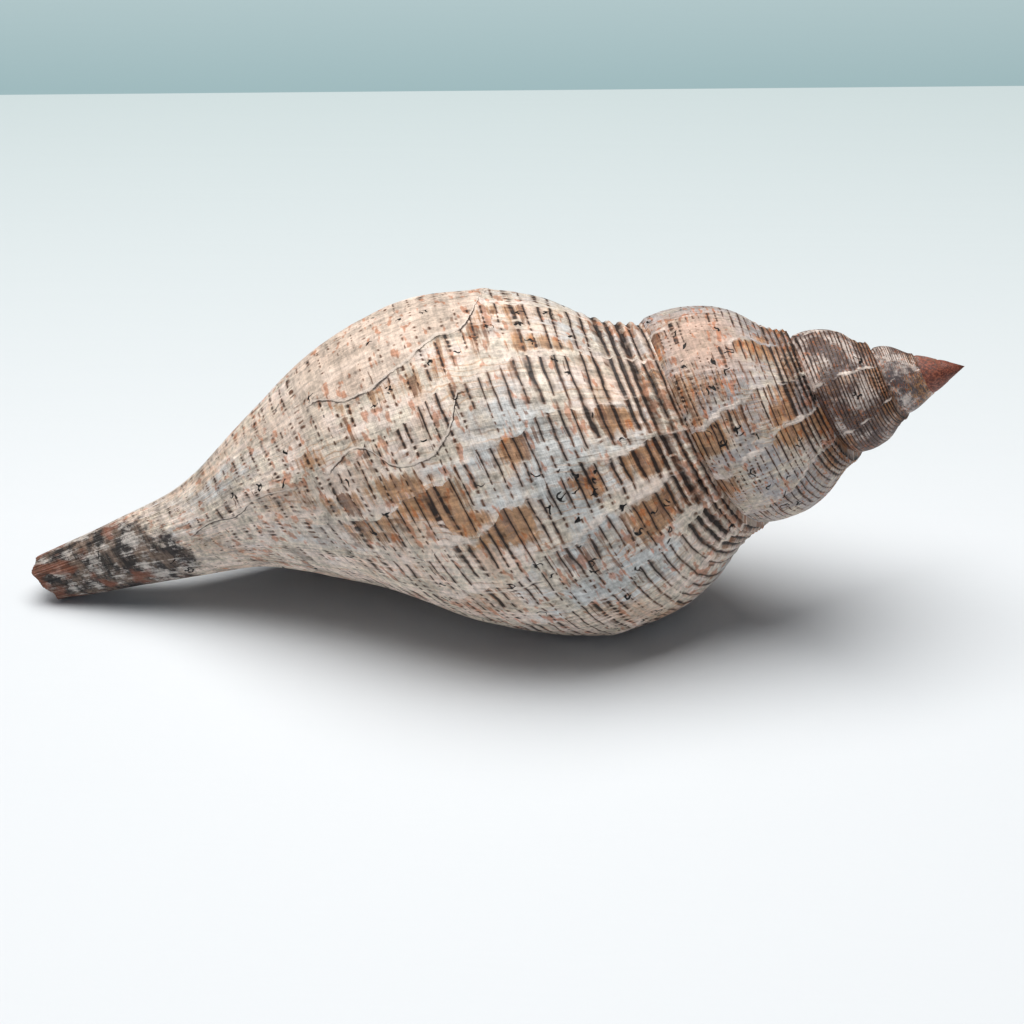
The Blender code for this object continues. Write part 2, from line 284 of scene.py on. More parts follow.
@dataclass(frozen=True)
class Relief:
    """What stands up from the plain outside and what is let into it, in metres and turns."""
    # Cords: closer together by the seam, where the first rows stand up and are beaded
    seam_depth: float = 0.00040
    cords_per_share: float = 31.0
    crowded_cords: float = 2.2
    crowded_share: float = 0.14
    cord_height: float = 0.00034
    cord_rows: float = 3.0
    cord_fade: float = 4.0
    beads_per_turn: float = 70.0
    bead_height: float = 0.00018
    bead_sway: float = 0.003
    bead_bend: float = 2.1
    bead_change: float = 0.4
    bead_changes: float = 23.0
    frill: float = 1.4
    frill_rows: float = 3.0
    least_size: float = 0.35
    # Growth scars: station and strength of each, as the photograph shows them on the near side
    scar_height: float = 0.00045
    scars: Curve = (
        (0.06, 0.5), (0.13, 0.8), (0.20, 0.5), (0.27, 0.8), (0.35, 0.6), (0.43, 0.8), (0.49, 0.6),
        (0.543, 1.0), (0.594, 0.9), (0.66, 0.6), (0.74, 1.0), (0.83, 0.6), (0.92, 0.8), (1.01, 0.5),
        (1.10, 0.8), (1.20, 0.6), (1.33, 0.9), (1.41, 0.6), (1.495, 1.0), (1.57, 1.0), (1.66, 0.8),
        (1.78, 0.9), (1.92, 0.8), (2.05, 1.0), (2.18, 0.8), (2.30, 1.0), (2.47, 1.0), (2.61, 0.9),
        (2.80, 0.9), (3.00, 0.9), (3.25, 0.8), (3.50, 0.8),
    )
    scar_lean: float = 0.10
    scar_lean_share: float = 0.95
    lean_shares: tuple[float, float] = (0.6, 1.5)
    waves: tuple[tuple[float, float, float, float], ...] = (
        (0.005, 7.0, 2.0, 0.0), (0.0032, 31.0, 9.0, 0.0), (0.0014, 83.0, 0.0, 4.0))
    breaks: tuple[float, float] = (9.0, 23.0)
    break_depth: float = 0.38
    scar_width: float = 0.008
    scar_drop: float = 0.004
    canal_shares: tuple[float, float] = (1.5, 1.9)
    canal_scar_loss: float = 0.7
    # The smallest whorls are worn smooth, and the body swells low on the near side
    smooth_station: float = 2.9
    smooth_turns: float = 1.0
    belly_station: float = 0.80
    belly_turns: float = 0.22
    belly_height: float = 0.0009
    belly_shares: tuple[float, float, float, float] = (0.70, 0.95, 1.35, 1.70)
    ripples_per_turn: tuple[float, float] = (37.0, 61.0)
    ripple_height: float = 0.00005
    ripple_shares: tuple[float, float] = (0.75, 0.95)
    # Broken edges of the outer layer on the body
    patch: Ledge = Ledge(((0.96, 0.30), (0.997, 0.353), (1.03, 0.378), (1.10, 0.386), (1.17, 0.404),
                          (1.22, 0.412), (1.31, 0.423), (1.36, 0.421), (1.42, 0.405)), 0.00045)
    plate: Ledge = Ledge(((1.10, 0.448), (1.138, 0.474), (1.188, 0.491), (1.237, 0.499), (1.288, 0.4995),
                          (1.323, 0.494), (1.357, 0.476), (1.402, 0.473), (1.48, 0.490)), 0.00022)
    shelf: Ledge = Ledge(((1.14, 0.626), (1.20, 0.632), (1.246, 0.634), (1.314, 0.634), (1.350, 0.626),
                          (1.369, 0.611), (1.385, 0.590)), 0.00035)
    neck: Ledge = Ledge(((1.60, 0.495), (1.72, 0.500), (1.80, 0.520), (1.86, 0.510), (1.95, 0.530)),
                        0.00030)

    def wavy(self, station: np.ndarray, share: np.ndarray) -> np.ndarray:
        """Station, shifted so that growth lines lean and run a little wavy across the whorl.

        Args:
            station: Turns back from the lip.
            share: Reach as a share of the whorl's widest reach.

        Returns:
            The shifted stations.
        """
        shifted = station - self.scar_lean * (np.clip(share, *self.lean_shares) - self.scar_lean_share)
        for size, across, along, start in self.waves:
            shifted = shifted + size * np.sin(across * share + along * station + start)
        return shifted

    def scar(self, station: np.ndarray, share: np.ndarray) -> np.ndarray:
        """Growth scars from 0 to 1: a slow rise and a steep fall towards the apex side.

        Args:
            station: Turns back from the lip.
            share: Reach as a share of the whorl's widest reach.

        Returns:
            Their strengths.
        """
        wavy = self.wavy(station, share)
        height = np.zeros_like(share)
        for scar, strength in self.scars:
            past = wavy - scar
            width = np.where(past < 0.0, self.scar_width, self.scar_drop)
            gaps = np.sin(self.breaks[0] * share + 40.0 * scar)
            gaps = gaps * np.cos(self.breaks[1] * share + 17.0 * scar)
            broken = 1.0 - self.break_depth + self.break_depth * gaps
            height = height + strength * broken * np.exp(-((past / width) ** 2))
        return height * (1.0 - self.canal_scar_loss * ease(*self.canal_shares, share))

    def growth_band(self, station: np.ndarray, share: np.ndarray) -> np.ndarray:
        """Number of the growth band at a place: whole at each scar, rising between them."""
        scars = np.array(self.scars)[:, 0]
        return np.interp(self.wavy(station, share), scars, np.arange(len(scars)))

    def cord_number(self, coil: Coil, winding_share: np.ndarray) -> np.ndarray:
        """Number of the spiral cord at a place, counted from the seam, where they are closer.

        Args:
            coil: The shell's form.
            winding_share: Share of the turn that the place winds with.

        Returns:
            The numbers, whole on top of each cord.
        """
        past = winding_share - coil.suture_share
        crowded = self.crowded_cords * (1.0 - np.exp(-np.maximum(past, 0.0) / self.crowded_share))
        return self.cords_per_share * past + crowded

    def cords(self, coil: Coil, station: np.ndarray, share: np.ndarray) -> np.ndarray:
        """Height of the beaded cords just below the seam.

        Args:
            coil: The shell's form.
            station: Turns back from the lip.
            share: Reach as a share of the whorl's widest reach.

        Returns:
            The heights.
        """
        size = np.maximum(coil.size(station), self.least_size)
        number = self.cord_number(coil, share)
        ropes = np.cos(TAU * number) * self.cord_height
        sway = station + self.bead_sway * np.sin(self.bead_bend * number)
        uneven = 1.0 - self.bead_change + self.bead_change * np.sin(self.bead_changes * station)
        beads = np.cos(TAU * self.beads_per_turn * sway) * uneven
        beads = beads * (1.0 + self.frill * ease(self.frill_rows, 1.0, number))
        fade = ease(0.0, 0.5, number) * ease(self.cord_rows + self.cord_fade, self.cord_rows, number)
        return (ropes + beads * self.bead_height) * size * fade

    def height(self, coil: Coil, station: np.ndarray, share: np.ndarray) -> np.ndarray:
        """Height of all relief at a place on the outside.

        Args:
            coil: The shell's form.
            station: Turns back from the lip.
            share: Reach as a share of the whorl's widest reach.

        Returns:
            The heights.
        """
        size = coil.size(station)
        high = self.scar(station, share) * self.scar_height * size + self.cords(coil, station, share)
        around = np.exp(-(((station - self.belly_station) / self.belly_turns) ** 2))
        start, full, level, end = self.belly_shares
        high = high + self.belly_height * around * ease(start, full, share) * ease(end, level, share)
        for ledge in (self.patch, self.plate, self.shelf, self.neck):
            high = high + ledge.step(coil, station, share)
        ripples = np.sin(TAU * self.ripples_per_turn[0] * self.wavy(station, share))
        ripples = ripples + np.sin(TAU * self.ripples_per_turn[1] * station + 6.0 * share)
        high = high + self.ripple_height * size * ripples * ease(*self.ripple_shares, share)
        return high * ease(self.smooth_station + self.smooth_turns, self.smooth_station, station)


class Mark(Enum):
    """What a listed mark on the shell is."""
    BROWN = 0
    GREY = 1
    PALE = 2
    PITS = 3


@dataclass(frozen=True)
class Spot:
    """One soft-edged mark, at a station and share, with its half sizes in turns and share."""
    mark: Mark
    station: float
    share: float
    turns: float
    width: float
    strength: float = 1.0

    def amount(self, station: np.ndarray, share: np.ndarray) -> np.ndarray:
        """Strength of the mark at a place, falling off smoothly round its middle."""
        far = ((station - self.station) / self.turns) ** 4 + ((share - self.share) / self.width) ** 4
        return self.strength * np.exp(-0.7 * far)


# Marks that stand out on the near side, each at its own place; everything between them is noise
SPOTS = (
    Spot(Mark.BROWN, 0.527, 1.30, 0.020, 0.085),
    Spot(Mark.BROWN, 0.568, 1.16, 0.017, 0.110),
    Spot(Mark.BROWN, 0.500, 1.03, 0.014, 0.030, 0.8),
    Spot(Mark.BROWN, 0.493, 0.78, 0.016, 0.045, 0.8),
    Spot(Mark.BROWN, 0.540, 0.77, 0.022, 0.060),
    Spot(Mark.BROWN, 0.605, 0.78, 0.020, 0.060),
    Spot(Mark.BROWN, 0.552, 0.90, 0.012, 0.035, 0.8),
    Spot(Mark.BROWN, 0.470, 1.51, 0.016, 0.035),
    Spot(Mark.BROWN, 0.540, 1.50, 0.030, 0.090, 0.55),
    Spot(Mark.BROWN, 0.405, 0.86, 0.014, 0.080, 0.6),
    Spot(Mark.BROWN, 0.430, 1.22, 0.015, 0.090, 0.6),
    Spot(Mark.BROWN, 0.345, 1.28, 0.025, 0.100, 0.45),
    Spot(Mark.BROWN, 1.345, 1.15, 0.020, 0.110, 0.9),
    Spot(Mark.BROWN, 1.535, 1.15, 0.026, 0.090),
    Spot(Mark.BROWN, 1.440, 1.10, 0.060, 0.140, 0.65),
    Spot(Mark.BROWN, 1.400, 0.83, 0.030, 0.070, 0.9),
    Spot(Mark.BROWN, 1.550, 0.83, 0.035, 0.070, 0.7),
    Spot(Mark.GREY, 0.530, 0.95, 0.055, 0.070),
    Spot(Mark.GREY, 0.600, 1.02, 0.020, 0.150, 0.6),
    Spot(Mark.GREY, 0.470, 1.02, 0.030, 0.100, 0.6),
    Spot(Mark.GREY, 0.660, 0.92, 0.030, 0.160, 0.8),
    Spot(Mark.GREY, 0.390, 1.72, 0.080, 0.110, 0.5),
    Spot(Mark.GREY, 1.620, 1.00, 0.070, 0.160, 0.8),
    Spot(Mark.GREY, 1.470, 0.93, 0.060, 0.060, 0.5),
    Spot(Mark.PALE, 0.500, 1.49, 0.012, 0.060, 0.6),
    Spot(Mark.PALE, 0.400, 1.48, 0.040, 0.070, 0.8),
    Spot(Mark.PALE, 1.390, 1.02, 0.060, 0.150, 0.9),
    Spot(Mark.PITS, 0.553, 0.96, 0.028, 0.060),
    Spot(Mark.PITS, 0.540, 0.83, 0.022, 0.050, 0.7),
    Spot(Mark.PITS, 0.470, 0.93, 0.020, 0.060, 0.45),
    Spot(Mark.PITS, 1.430, 1.03, 0.060, 0.120, 0.8),
    Spot(Mark.PITS, 1.600, 1.05, 0.080, 0.150, 0.4),
    Spot(Mark.PITS, 0.620, 0.90, 0.030, 0.120, 0.5),
)


@dataclass
class ShellSkin:
    """The whole shell as one piece: its outside, its lip and the hollow that winds in."""
    coil: Coil = field(default_factory=Coil)
    relief: Relief = field(default_factory=Relief)
    # How finely it is divided: columns to a turn, and rows across each whorl from the lip back
    columns: int = 300
    band_rows: tuple[int, ...] = (80, 44, 26, 16, 10, 6)
    foot_rows: int = 80
    lip_columns: int = 4
    seam_density: float = 0.5
    lip_round: float = 0.0007
    weld: float = 0.000002
    # The hollow, as in the solid: its wall, and the chamber that winds in from the mouth
    wall: float = 0.0017
    thin_wall_share: float = 0.55
    inner_depth: float = 0.35
    inner_end: float = 0.140
    callus: float = 0.0005
    chamber_turns: float = 2.75
    chamber_mouth: float = -0.015
    chamber_head: float = 0.0040
    chamber_head_mouth: float = 0.0055
    chamber_head_turns: float = 0.6
    chamber_foot_share: float = 1.74
    chamber_foot_end: float = 0.1235
    chamber_taper: float = 0.5
    chamber_closing: float = 0.85
    chamber_sections: int = 60
    chamber_sides: int = 40
    # The canal's open groove
    groove_start: float = 0.106
    groove_angle: float = 140.2
    groove_floor: Curve = ((0.106, 0.0070), (0.113, 0.0045), (0.122, 0.0020), (0.135, 0.0002),
                           (0.154, -0.0006))
    groove_half: float = 0.0015
    groove_half_tip: float = 0.0012
    groove_mouth: float = 0.016
    groove_past_end: float = 0.004
    groove_sections: int = 41
    groove_sides: int = 14
    # Where the finish changes, and how the closed ends are found
    lip_turns: float = 0.010
    tip_middle_station: float = 0.4
    hole_range: float = 0.25
    sharp_angle: float = 52.0
    patch_edge: float = 0.0004
    patch_stations: tuple[float, float] = (0.20, 0.30)
    soot_reaches: tuple[float, float] = (0.124, 0.138)
    soot_slant: float = 0.009
    soot_slant_station: float = 0.64
    black_reaches: tuple[float, float] = (0.139, 0.147)
    far_gap: float = 0.01

    def grid(self, name: str, columns: int, rows: int) -> tuple[bpy.types.Object, np.ndarray, np.ndarray]:
        """Adds a flat grid to be wound into shape.

        Args:
            name: Name of the new object.
            columns: Faces across.
            rows: Faces up.

        Returns:
            The object, and the column and row number of each of its vertices.
        """
        deselect_all()
        bpy.ops.mesh.primitive_grid_add(x_subdivisions=columns, y_subdivisions=rows, size=1.0)
        made = bpy.context.object
        made.name = name
        flat = np.empty(len(made.data.vertices) * 3)
        made.data.vertices.foreach_get("co", flat)
        flat = flat.reshape(-1, 3) + 0.5
        return made, np.rint(flat[:, 0] * columns), np.rint(flat[:, 1] * rows)

    def set_points(self, piece: bpy.types.Object, points: np.ndarray) -> None:
        """Moves the vertices of a piece to the given places."""
        piece.data.vertices.foreach_set("co", points.ravel())
        piece.data.update()

    def outer_radius(self, station: np.ndarray, reach: np.ndarray) -> np.ndarray:
        """Radius of the finished outside at a station and reach.

        Args:
            station: Turns back from the lip.
            reach: Distance from the apex along the axis.

        Returns:
            The radii.
        """
        share = reach / self.coil.shoulder_reach(station)
        radius = self.coil.plain_radius(station, reach) + self.relief.height(self.coil, station, share)
        return radius - self.lip_round * np.clip(1.0 - station / self.lip_turns, 0.0, 1.0) ** 2

    def seam_radius(self, station: np.ndarray) -> np.ndarray:
        """Radius of the seam that the whorl at a station starts from.

        Args:
            station: Turns back from the lip.

        Returns:
            The radii.
        """
        reach = self.coil.suture_reach(station)
        older = station + 1.0
        share = reach / self.coil.shoulder_reach(older)
        scars = self.relief.scar(older, share) * self.relief.scar_height * self.coil.size(older)
        groove = self.relief.seam_depth * np.minimum(1.0, reach / self.coil.suture_reach(np.ones(1)))
        return self.coil.plain_radius(older, reach) + scars - groove

    def band_reach(self, station: np.ndarray, height: np.ndarray) -> np.ndarray:
        """Reach at a height from 0 to 1 between the two seams, with more rows near the upper one.

        Args:
            station: Turns back from the lip.
            height: Part of the way from the upper seam to the lower one.

        Returns:
            The reaches.
        """
        spaced = height * (self.seam_density + (1.0 - self.seam_density) * height)
        top = self.coil.suture_reach(station)
        return top + (self.coil.suture_reach(station - 1.0) - top) * spaced

    def body_grid(self) -> bpy.types.Object:
        """Winds the last whorl, from its seam down to the canal's end.

        Returns:
            The wound grid.
        """
        band, rows = self.band_rows[0], self.band_rows[0] + self.foot_rows
        piece, column, row = self.grid("body_whorl", self.columns, rows)
        station = column / self.columns
        last = column == self.columns
        height = np.minimum(row / band, 1.0)
        height = np.where(last, np.rint(height * self.band_rows[1]) / self.band_rows[1], height)
        head_end = self.coil.suture_reach(station - 1.0)
        below = np.maximum(row - band, 0) / self.foot_rows
        reach = np.where(row > band, head_end + (self.coil.tip_reach(station) - head_end) * below,
                         self.band_reach(station, height))
        radius = self.outer_radius(station, reach)
        radius = np.where(row == 0, self.seam_radius(station), radius)
        radius = np.where(last & (row == band), self.seam_radius(np.zeros(1)), radius)
        self.set_points(piece, self.coil.world(reach, self.coil.angle(station), radius))
        return piece

    def whorl_grid(self, whorl: int) -> bpy.types.Object:
        """Winds one whorl of the spire; its last column takes the next whorl's rows.

        Args:
            whorl: Turns back from the lip at which it starts.

        Returns:
            The wound grid.
        """
        rows = self.band_rows[whorl]
        turns = min(self.coil.turns - whorl, 1.0)
        columns = round(self.columns * turns)
        piece, column, row = self.grid(f"whorl_{whorl}", columns, rows)
        station = whorl + column / self.columns
        height = row / rows
        if whorl + 1 < len(self.band_rows):
            coarse = self.band_rows[whorl + 1]
            height = np.where(column == columns, np.rint(height * coarse) / coarse, height)
        reach = self.band_reach(station, height)
        radius = self.outer_radius(station, reach)
        radius = np.where(height == 0, self.seam_radius(station), radius)
        radius = np.where(height == 1, self.seam_radius(station - 1.0), radius)
        self.set_points(piece, self.coil.world(reach, self.coil.angle(station), radius))
        return piece

    def lip_grid(self) -> bpy.types.Object:
        """Makes the face between the outer lip and the whorl inside it.

        Returns:
            The face's grid.
        """
        band, rows = self.band_rows[0], self.band_rows[0] + self.foot_rows
        piece, column, row = self.grid("lip_face", self.lip_columns, rows)
        zero, one = np.zeros_like(row), np.ones_like(row)
        head_end, tip = self.coil.suture_reach(-one), self.coil.tip_reach(zero)
        foot_reach = head_end + (tip - head_end) * (row - band) / self.foot_rows
        outer_reach = np.where(row > band, foot_reach, self.band_reach(zero, np.minimum(row / band, 1.0)))
        outer = np.where(row == 0, self.seam_radius(zero), self.outer_radius(zero, outer_reach))
        down = np.rint(row * self.foot_rows / rows) / self.foot_rows
        seam = self.coil.suture_reach(zero)
        inner_reach = seam + (self.coil.tip_reach(one) - seam) * down
        inner = np.where(down == 0, self.seam_radius(zero), self.outer_radius(one, inner_reach))
        turn = np.full_like(row, math.radians(self.coil.lip_angle))
        across = (column / self.lip_columns)[:, None]
        outside = self.coil.world(outer_reach, turn, outer)
        inside = self.coil.world(inner_reach, turn, inner)
        self.set_points(piece, outside + (inside - outside) * across)
        return piece

    def close_hole(self, piece: bpy.types.Object, centre: np.ndarray) -> None:
        """Closes the open rim that is nearest to a point with a fan to that point.

        Args:
            piece: The joined outside.
            centre: Where the fan's middle goes.
        """
        activate(piece)
        bpy.ops.object.mode_set(mode='EDIT')
        bpy.ops.mesh.select_mode(type='EDGE')
        bpy.ops.mesh.select_all(action='DESELECT')
        bpy.ops.mesh.select_non_manifold(extend=False, use_wire=False, use_boundary=True,
                                         use_multi_face=False, use_non_contiguous=False, use_verts=False)
        bpy.ops.object.mode_set(mode='OBJECT')
        near = Vector(centre)
        vertices = piece.data.vertices
        for edge in piece.data.edges:
            far = (vertices[edge.vertices[0]].co - near).length
            edge.select = edge.select and far < self.hole_range * self.coil.length
        bpy.ops.object.mode_set(mode='EDIT')
        bpy.ops.mesh.edge_face_add()
        bpy.ops.mesh.poke()
        bpy.ops.object.mode_set(mode='OBJECT')
        piece.data.vertices[-1].co = near

    def outside(self) -> bpy.types.Object:
        """Joins the wound grids into one closed skin.

        Returns:
            The closed outside.
        """
        grids = [self.body_grid(), self.lip_grid()]
        grids += [self.whorl_grid(whorl) for whorl in range(1, len(self.band_rows))]
        deselect_all()
        for piece in grids:
            piece.select_set(True)
        bpy.context.view_layer.objects.active = grids[0]
        bpy.ops.object.join()
        skin = bpy.context.object
        skin.name = "shell_skin"
        bpy.ops.object.mode_set(mode='EDIT')
        bpy.ops.mesh.select_all(action='SELECT')
        bpy.ops.mesh.remove_doubles(threshold=self.weld)
        bpy.ops.object.mode_set(mode='OBJECT')
        zero = np.zeros(1)
        self.close_hole(skin, self.coil.world(zero, zero, zero)[0])
        middle = np.array([self.coil.length - self.coil.tip_slant])
        turn = self.coil.angle(np.array([self.tip_middle_station]))
        self.close_hole(skin, self.coil.world(middle, turn, np.array([self.groove_half]))[0])
        self.face_out(skin)
        return skin

    def face_out(self, piece: bpy.types.Object) -> None:
        """Turns all faces of a closed piece outwards, and makes them triangles.

        Args:
            piece: The piece.
        """
        activate(piece)
        bpy.ops.object.mode_set(mode='EDIT')
        bpy.ops.mesh.select_all(action='SELECT')
        bpy.ops.mesh.normals_make_consistent(inside=False)
        bpy.ops.mesh.quads_convert_to_tris()
        bpy.ops.object.mode_set(mode='OBJECT')

    def tube(self, name: str, points: np.ndarray) -> bpy.types.Object:
        """Makes a closed cutter through rings of points.

        Args:
            name: Name of the cutter.
            points: Rings of positions: ring, place round it, and three numbers.

        Returns:
            The cutter.
        """
        rings, sides = points.shape[0], points.shape[1]
        piece, column, row = self.grid(name, rings - 1, sides)
        self.set_points(piece, points[column.astype(int), row.astype(int) % sides])
        activate(piece)
        bpy.ops.object.mode_set(mode='EDIT')
        bpy.ops.mesh.select_all(action='SELECT')
        bpy.ops.mesh.remove_doubles(threshold=self.weld)
        bpy.ops.mesh.select_all(action='SELECT')
        bpy.ops.mesh.fill_holes(sides=0)
        bpy.ops.object.mode_set(mode='OBJECT')
        self.face_out(piece)
        return piece

    def chamber(self) -> bpy.types.Object:
        """Makes the cutter that winds in from the mouth.

        Returns:
            The cutter.
        """
        coil = self.coil
        steps = round((self.chamber_turns - self.chamber_mouth) * self.chamber_sections)
        rings = []
        half_sides = self.chamber_sides // 2 + 1
        share = 0.5 - 0.5 * np.cos(np.linspace(0.0, math.pi, half_sides))
        fullness = np.sqrt(1.0 - np.abs(2.0 * share - 1.0) ** 3)
        for place in np.linspace(self.chamber_mouth, self.chamber_turns, steps + 1):
            station = np.full_like(share, place)
            size = coil.size(station)
            low = ease(self.chamber_head_turns, 0.0, station)
            below = self.chamber_head + self.chamber_head_mouth * low
            head = coil.suture_reach(station) + below * size
            foot = self.chamber_foot_share * coil.shoulder_reach(station)
            foot = np.minimum(foot, self.chamber_foot_end)
            reach = head + (foot - head) * share
            wall = self.wall * (self.thin_wall_share + (1.0 - self.thin_wall_share) * size)
            outside = coil.plain_radius(station, reach) - wall
            inside = coil.plain_radius(station + 1.0, reach) + self.callus
            taper = ease(self.chamber_turns - self.chamber_taper, self.chamber_turns, station)
            closing = 1.0 - self.chamber_closing * taper
            half = np.maximum(0.5 * (outside - inside), 0.0) * fullness * closing
            middle = 0.5 * (outside + inside)
            round_reach = np.concatenate([reach, reach[-2:0:-1]])
            round_radius = np.concatenate([middle + half, (middle - half)[-2:0:-1]])
            turn = np.full_like(round_reach, coil.angle(station[0]))
            rings.append(coil.world(round_reach, turn, round_radius))
        return self.tube("chamber_cutter", np.array(rings))

    def groove(self) -> bpy.types.Object:
        """Makes the cutter for the canal: a round floor with an open slot to one side.

        Returns:
            The cutter.
        """
        coil = self.coil
        rings = []
        end = coil.length + self.groove_past_end
        for reach in np.linspace(self.groove_start, end, self.groove_sections):
            part = min((reach - self.groove_start) / (coil.length - self.groove_start), 1.0)
            width = self.groove_half + (self.groove_half_tip - self.groove_half) * part
            middle = smooth_curve(self.groove_floor, np.array([reach]))[0] + width
            arc = np.linspace(0.5 * math.pi, 1.5 * math.pi, self.groove_sides)
            along = np.concatenate([middle + width * np.cos(arc), [self.groove_mouth] * 2])
            aside = np.concatenate([width * np.sin(arc), [-width, width]])
            turn = math.radians(self.groove_angle) + np.arctan2(aside, along)
            rings.append(coil.world(np.full_like(along, reach), turn, np.hypot(along, aside)))
        return self.tube("canal_cutter", np.array(rings))

    def cut(self, piece: bpy.types.Object, cutter: bpy.types.Object) -> None:
        """Takes the cutter's space out of the piece and removes the cutter.

        Args:
            piece: The piece that is cut.
            cutter: The closed shape to take out of it.
        """
        activate(piece)
        bpy.ops.object.modifier_add(type='BOOLEAN')
        difference = piece.modifiers[-1]
        difference.operation = 'DIFFERENCE'
        difference.solver = 'EXACT'
        difference.object = cutter
        bpy.ops.object.modifier_apply(modifier=difference.name)
        bpy.data.objects.remove(cutter, do_unlink=True)

    def build(self) -> bpy.types.Object:
        """Builds the shell's mesh with the values its finish reads.

        Returns:
            The finished piece.
        """
        skin = self.outside()
        self.cut(skin, self.chamber())
        self.cut(skin, self.groove())
        self.face_out(skin)
        bpy.ops.object.shade_smooth_by_angle(angle=math.radians(self.sharp_angle))
        self.store_values(skin)
        return skin

    def corner_places(self, mesh: bpy.types.Mesh) -> dict[str, np.ndarray]:
        """Station, share, reach and depth below the outside of each face corner.

        Args:
            mesh: The finished mesh.

        Returns:
            Arrays by name, one value to a corner.
        """
        points = np.empty(len(mesh.vertices) * 3)
        mesh.vertices.foreach_get("co", points)
        corner_vertex = np.empty(len(mesh.loops), dtype=np.int32)
        mesh.loops.foreach_get("vertex_index", corner_vertex)
        centres = np.empty(len(mesh.polygons) * 3)
        mesh.polygons.foreach_get("center", centres)
        sides = np.empty(len(mesh.polygons), dtype=np.int32)
        mesh.polygons.foreach_get("loop_total", sides)
        face = np.repeat(np.arange(len(sides)), sides)
        middle_reach, middle_part, middle_radius = self.coil.place(centres.reshape(-1, 3))
        whorl = np.zeros(len(sides))
        for turn in range(len(self.band_rows)):
            above = middle_reach < self.coil.suture_reach(middle_part + turn)
            whorl = np.where(above, turn + 1.0, whorl)
        station = middle_part + whorl
        reach, part, radius = self.coil.place(points.reshape(-1, 3))
        reach, part = reach[corner_vertex], part[corner_vertex]
        beside = (part - middle_part[face] + 0.5) % 1.0 - 0.5
        corner_station = station[face] + beside
        depth = self.coil.plain_radius(station, middle_reach) - middle_radius
        return {"station": corner_station, "reach": reach, "face_depth": depth,
                "share": reach / self.coil.shoulder_reach(corner_station),
                "winding_share": reach / self.coil.shoulder_reach(self.coil.grown(corner_station, reach)),
                "face_reach": middle_reach}

    def store(self, mesh: bpy.types.Mesh, name: str, x: np.ndarray, y: np.ndarray,
              z: np.ndarray) -> None:
        """Keeps three values on each face corner under one name."""
        layer = mesh.attributes.new(name, 'FLOAT_VECTOR', 'CORNER')
        layer.data.foreach_set("vector", np.stack([x, y, z], axis=-1).astype(np.float32).ravel())

    def store_values(self, piece: bpy.types.Object) -> None:
        """Works out the values that the finish reads, and parts inside from outside.

        Args:
            piece: The finished shape.
        """
        mesh = piece.data
        place = self.corner_places(mesh)
        station, share, reach = place["station"], place["share"], place["reach"]
        winding = place["winding_share"]
        self.store(mesh, "coil", station, self.relief.cord_number(self.coil, winding), share)
        amounts = {mark: np.zeros_like(share) for mark in Mark}
        for spot in SPOTS:
            amounts[spot.mark] += spot.amount(station, share)
        patch = self.relief.patch
        past = patch.gap(self.coil, station, share)
        on_patch = ease(self.patch_edge, -self.patch_edge, past) * patch.window(share)
        on_patch = on_patch * ease(*self.patch_stations, station) * ease(1.0, 0.0, station - 1.0)
        pale = np.clip(amounts[Mark.PALE] + on_patch, 0.0, 1.0)
        self.store(mesh, "marks", amounts[Mark.BROWN], amounts[Mark.GREY], pale)
        slant = self.soot_slant * np.cos(TAU * (station - self.soot_slant_station))
        soot = ease(*self.soot_reaches, reach + slant) + ease(*self.black_reaches, reach)
        ridge = self.relief.scar(station, share)
        self.store(mesh, "wear", soot, np.clip(ridge, 0.0, 1.0), amounts[Mark.PITS])
        nearest = np.full_like(share, self.far_gap)
        window = np.zeros_like(share)
        for ledge in (self.relief.patch, self.relief.plate, self.relief.shelf, self.relief.neck):
            gap = ledge.gap(self.coil, station, share)
            shown = ledge.window(share)
            closer = (np.abs(gap) < np.abs(nearest)) & (shown > 0.0) & (station < 1.0)
            nearest = np.where(closer, gap, nearest)
            window = np.where(closer, shown, window)
        self.store(mesh, "edge", nearest / MILLIMETRE, window, self.relief.growth_band(station, share))
        deep = place["face_depth"] > self.inner_depth * self.wall
        hidden = deep & (place["face_reach"] < self.inner_end)
        mesh.polygons.foreach_set("material_index", hidden.astype(np.int32))
        mesh.update()


class Kind(Enum):
    """Shader node types, each with the settings that it is used with."""
    ATTRIBUTE = ("Attribute", {})
    COORDINATES = ("TexCoord", {})
    MAPPING = ("Mapping", {})
    PARTS = ("SeparateXYZ", {})
    CHANNELS = ("SeparateColor", {})
    VECTOR = ("CombineXYZ", {})
    NOISE = ("TexNoise", {"noise_dimensions": '3D'})
    CELLS = ("TexVoronoi", {"feature": 'F1'})
    ADD = ("Math", {"operation": 'ADD'})
    SUBTRACT = ("Math", {"operation": 'SUBTRACT'})
    MULTIPLY = ("Math", {"operation": 'MULTIPLY'})
    MULTIPLY_ADD = ("Math", {"operation": 'MULTIPLY_ADD'})
    FRACTION = ("Math", {"operation": 'FRACT'})
    WHOLE = ("Math", {"operation": 'FLOOR'})
    SIZE = ("Math", {"operation": 'ABSOLUTE'})
    STEP = ("MapRange", {"interpolation_type": 'SMOOTHSTEP'})
    SLOPE = ("MapRange", {"interpolation_type": 'LINEAR'})
    BLEND = ("Mix", {"data_type": 'RGBA'})
    TINT = ("Mix", {"data_type": 'RGBA', "blend_type": 'MULTIPLY'})
    BUMP = ("Bump", {})


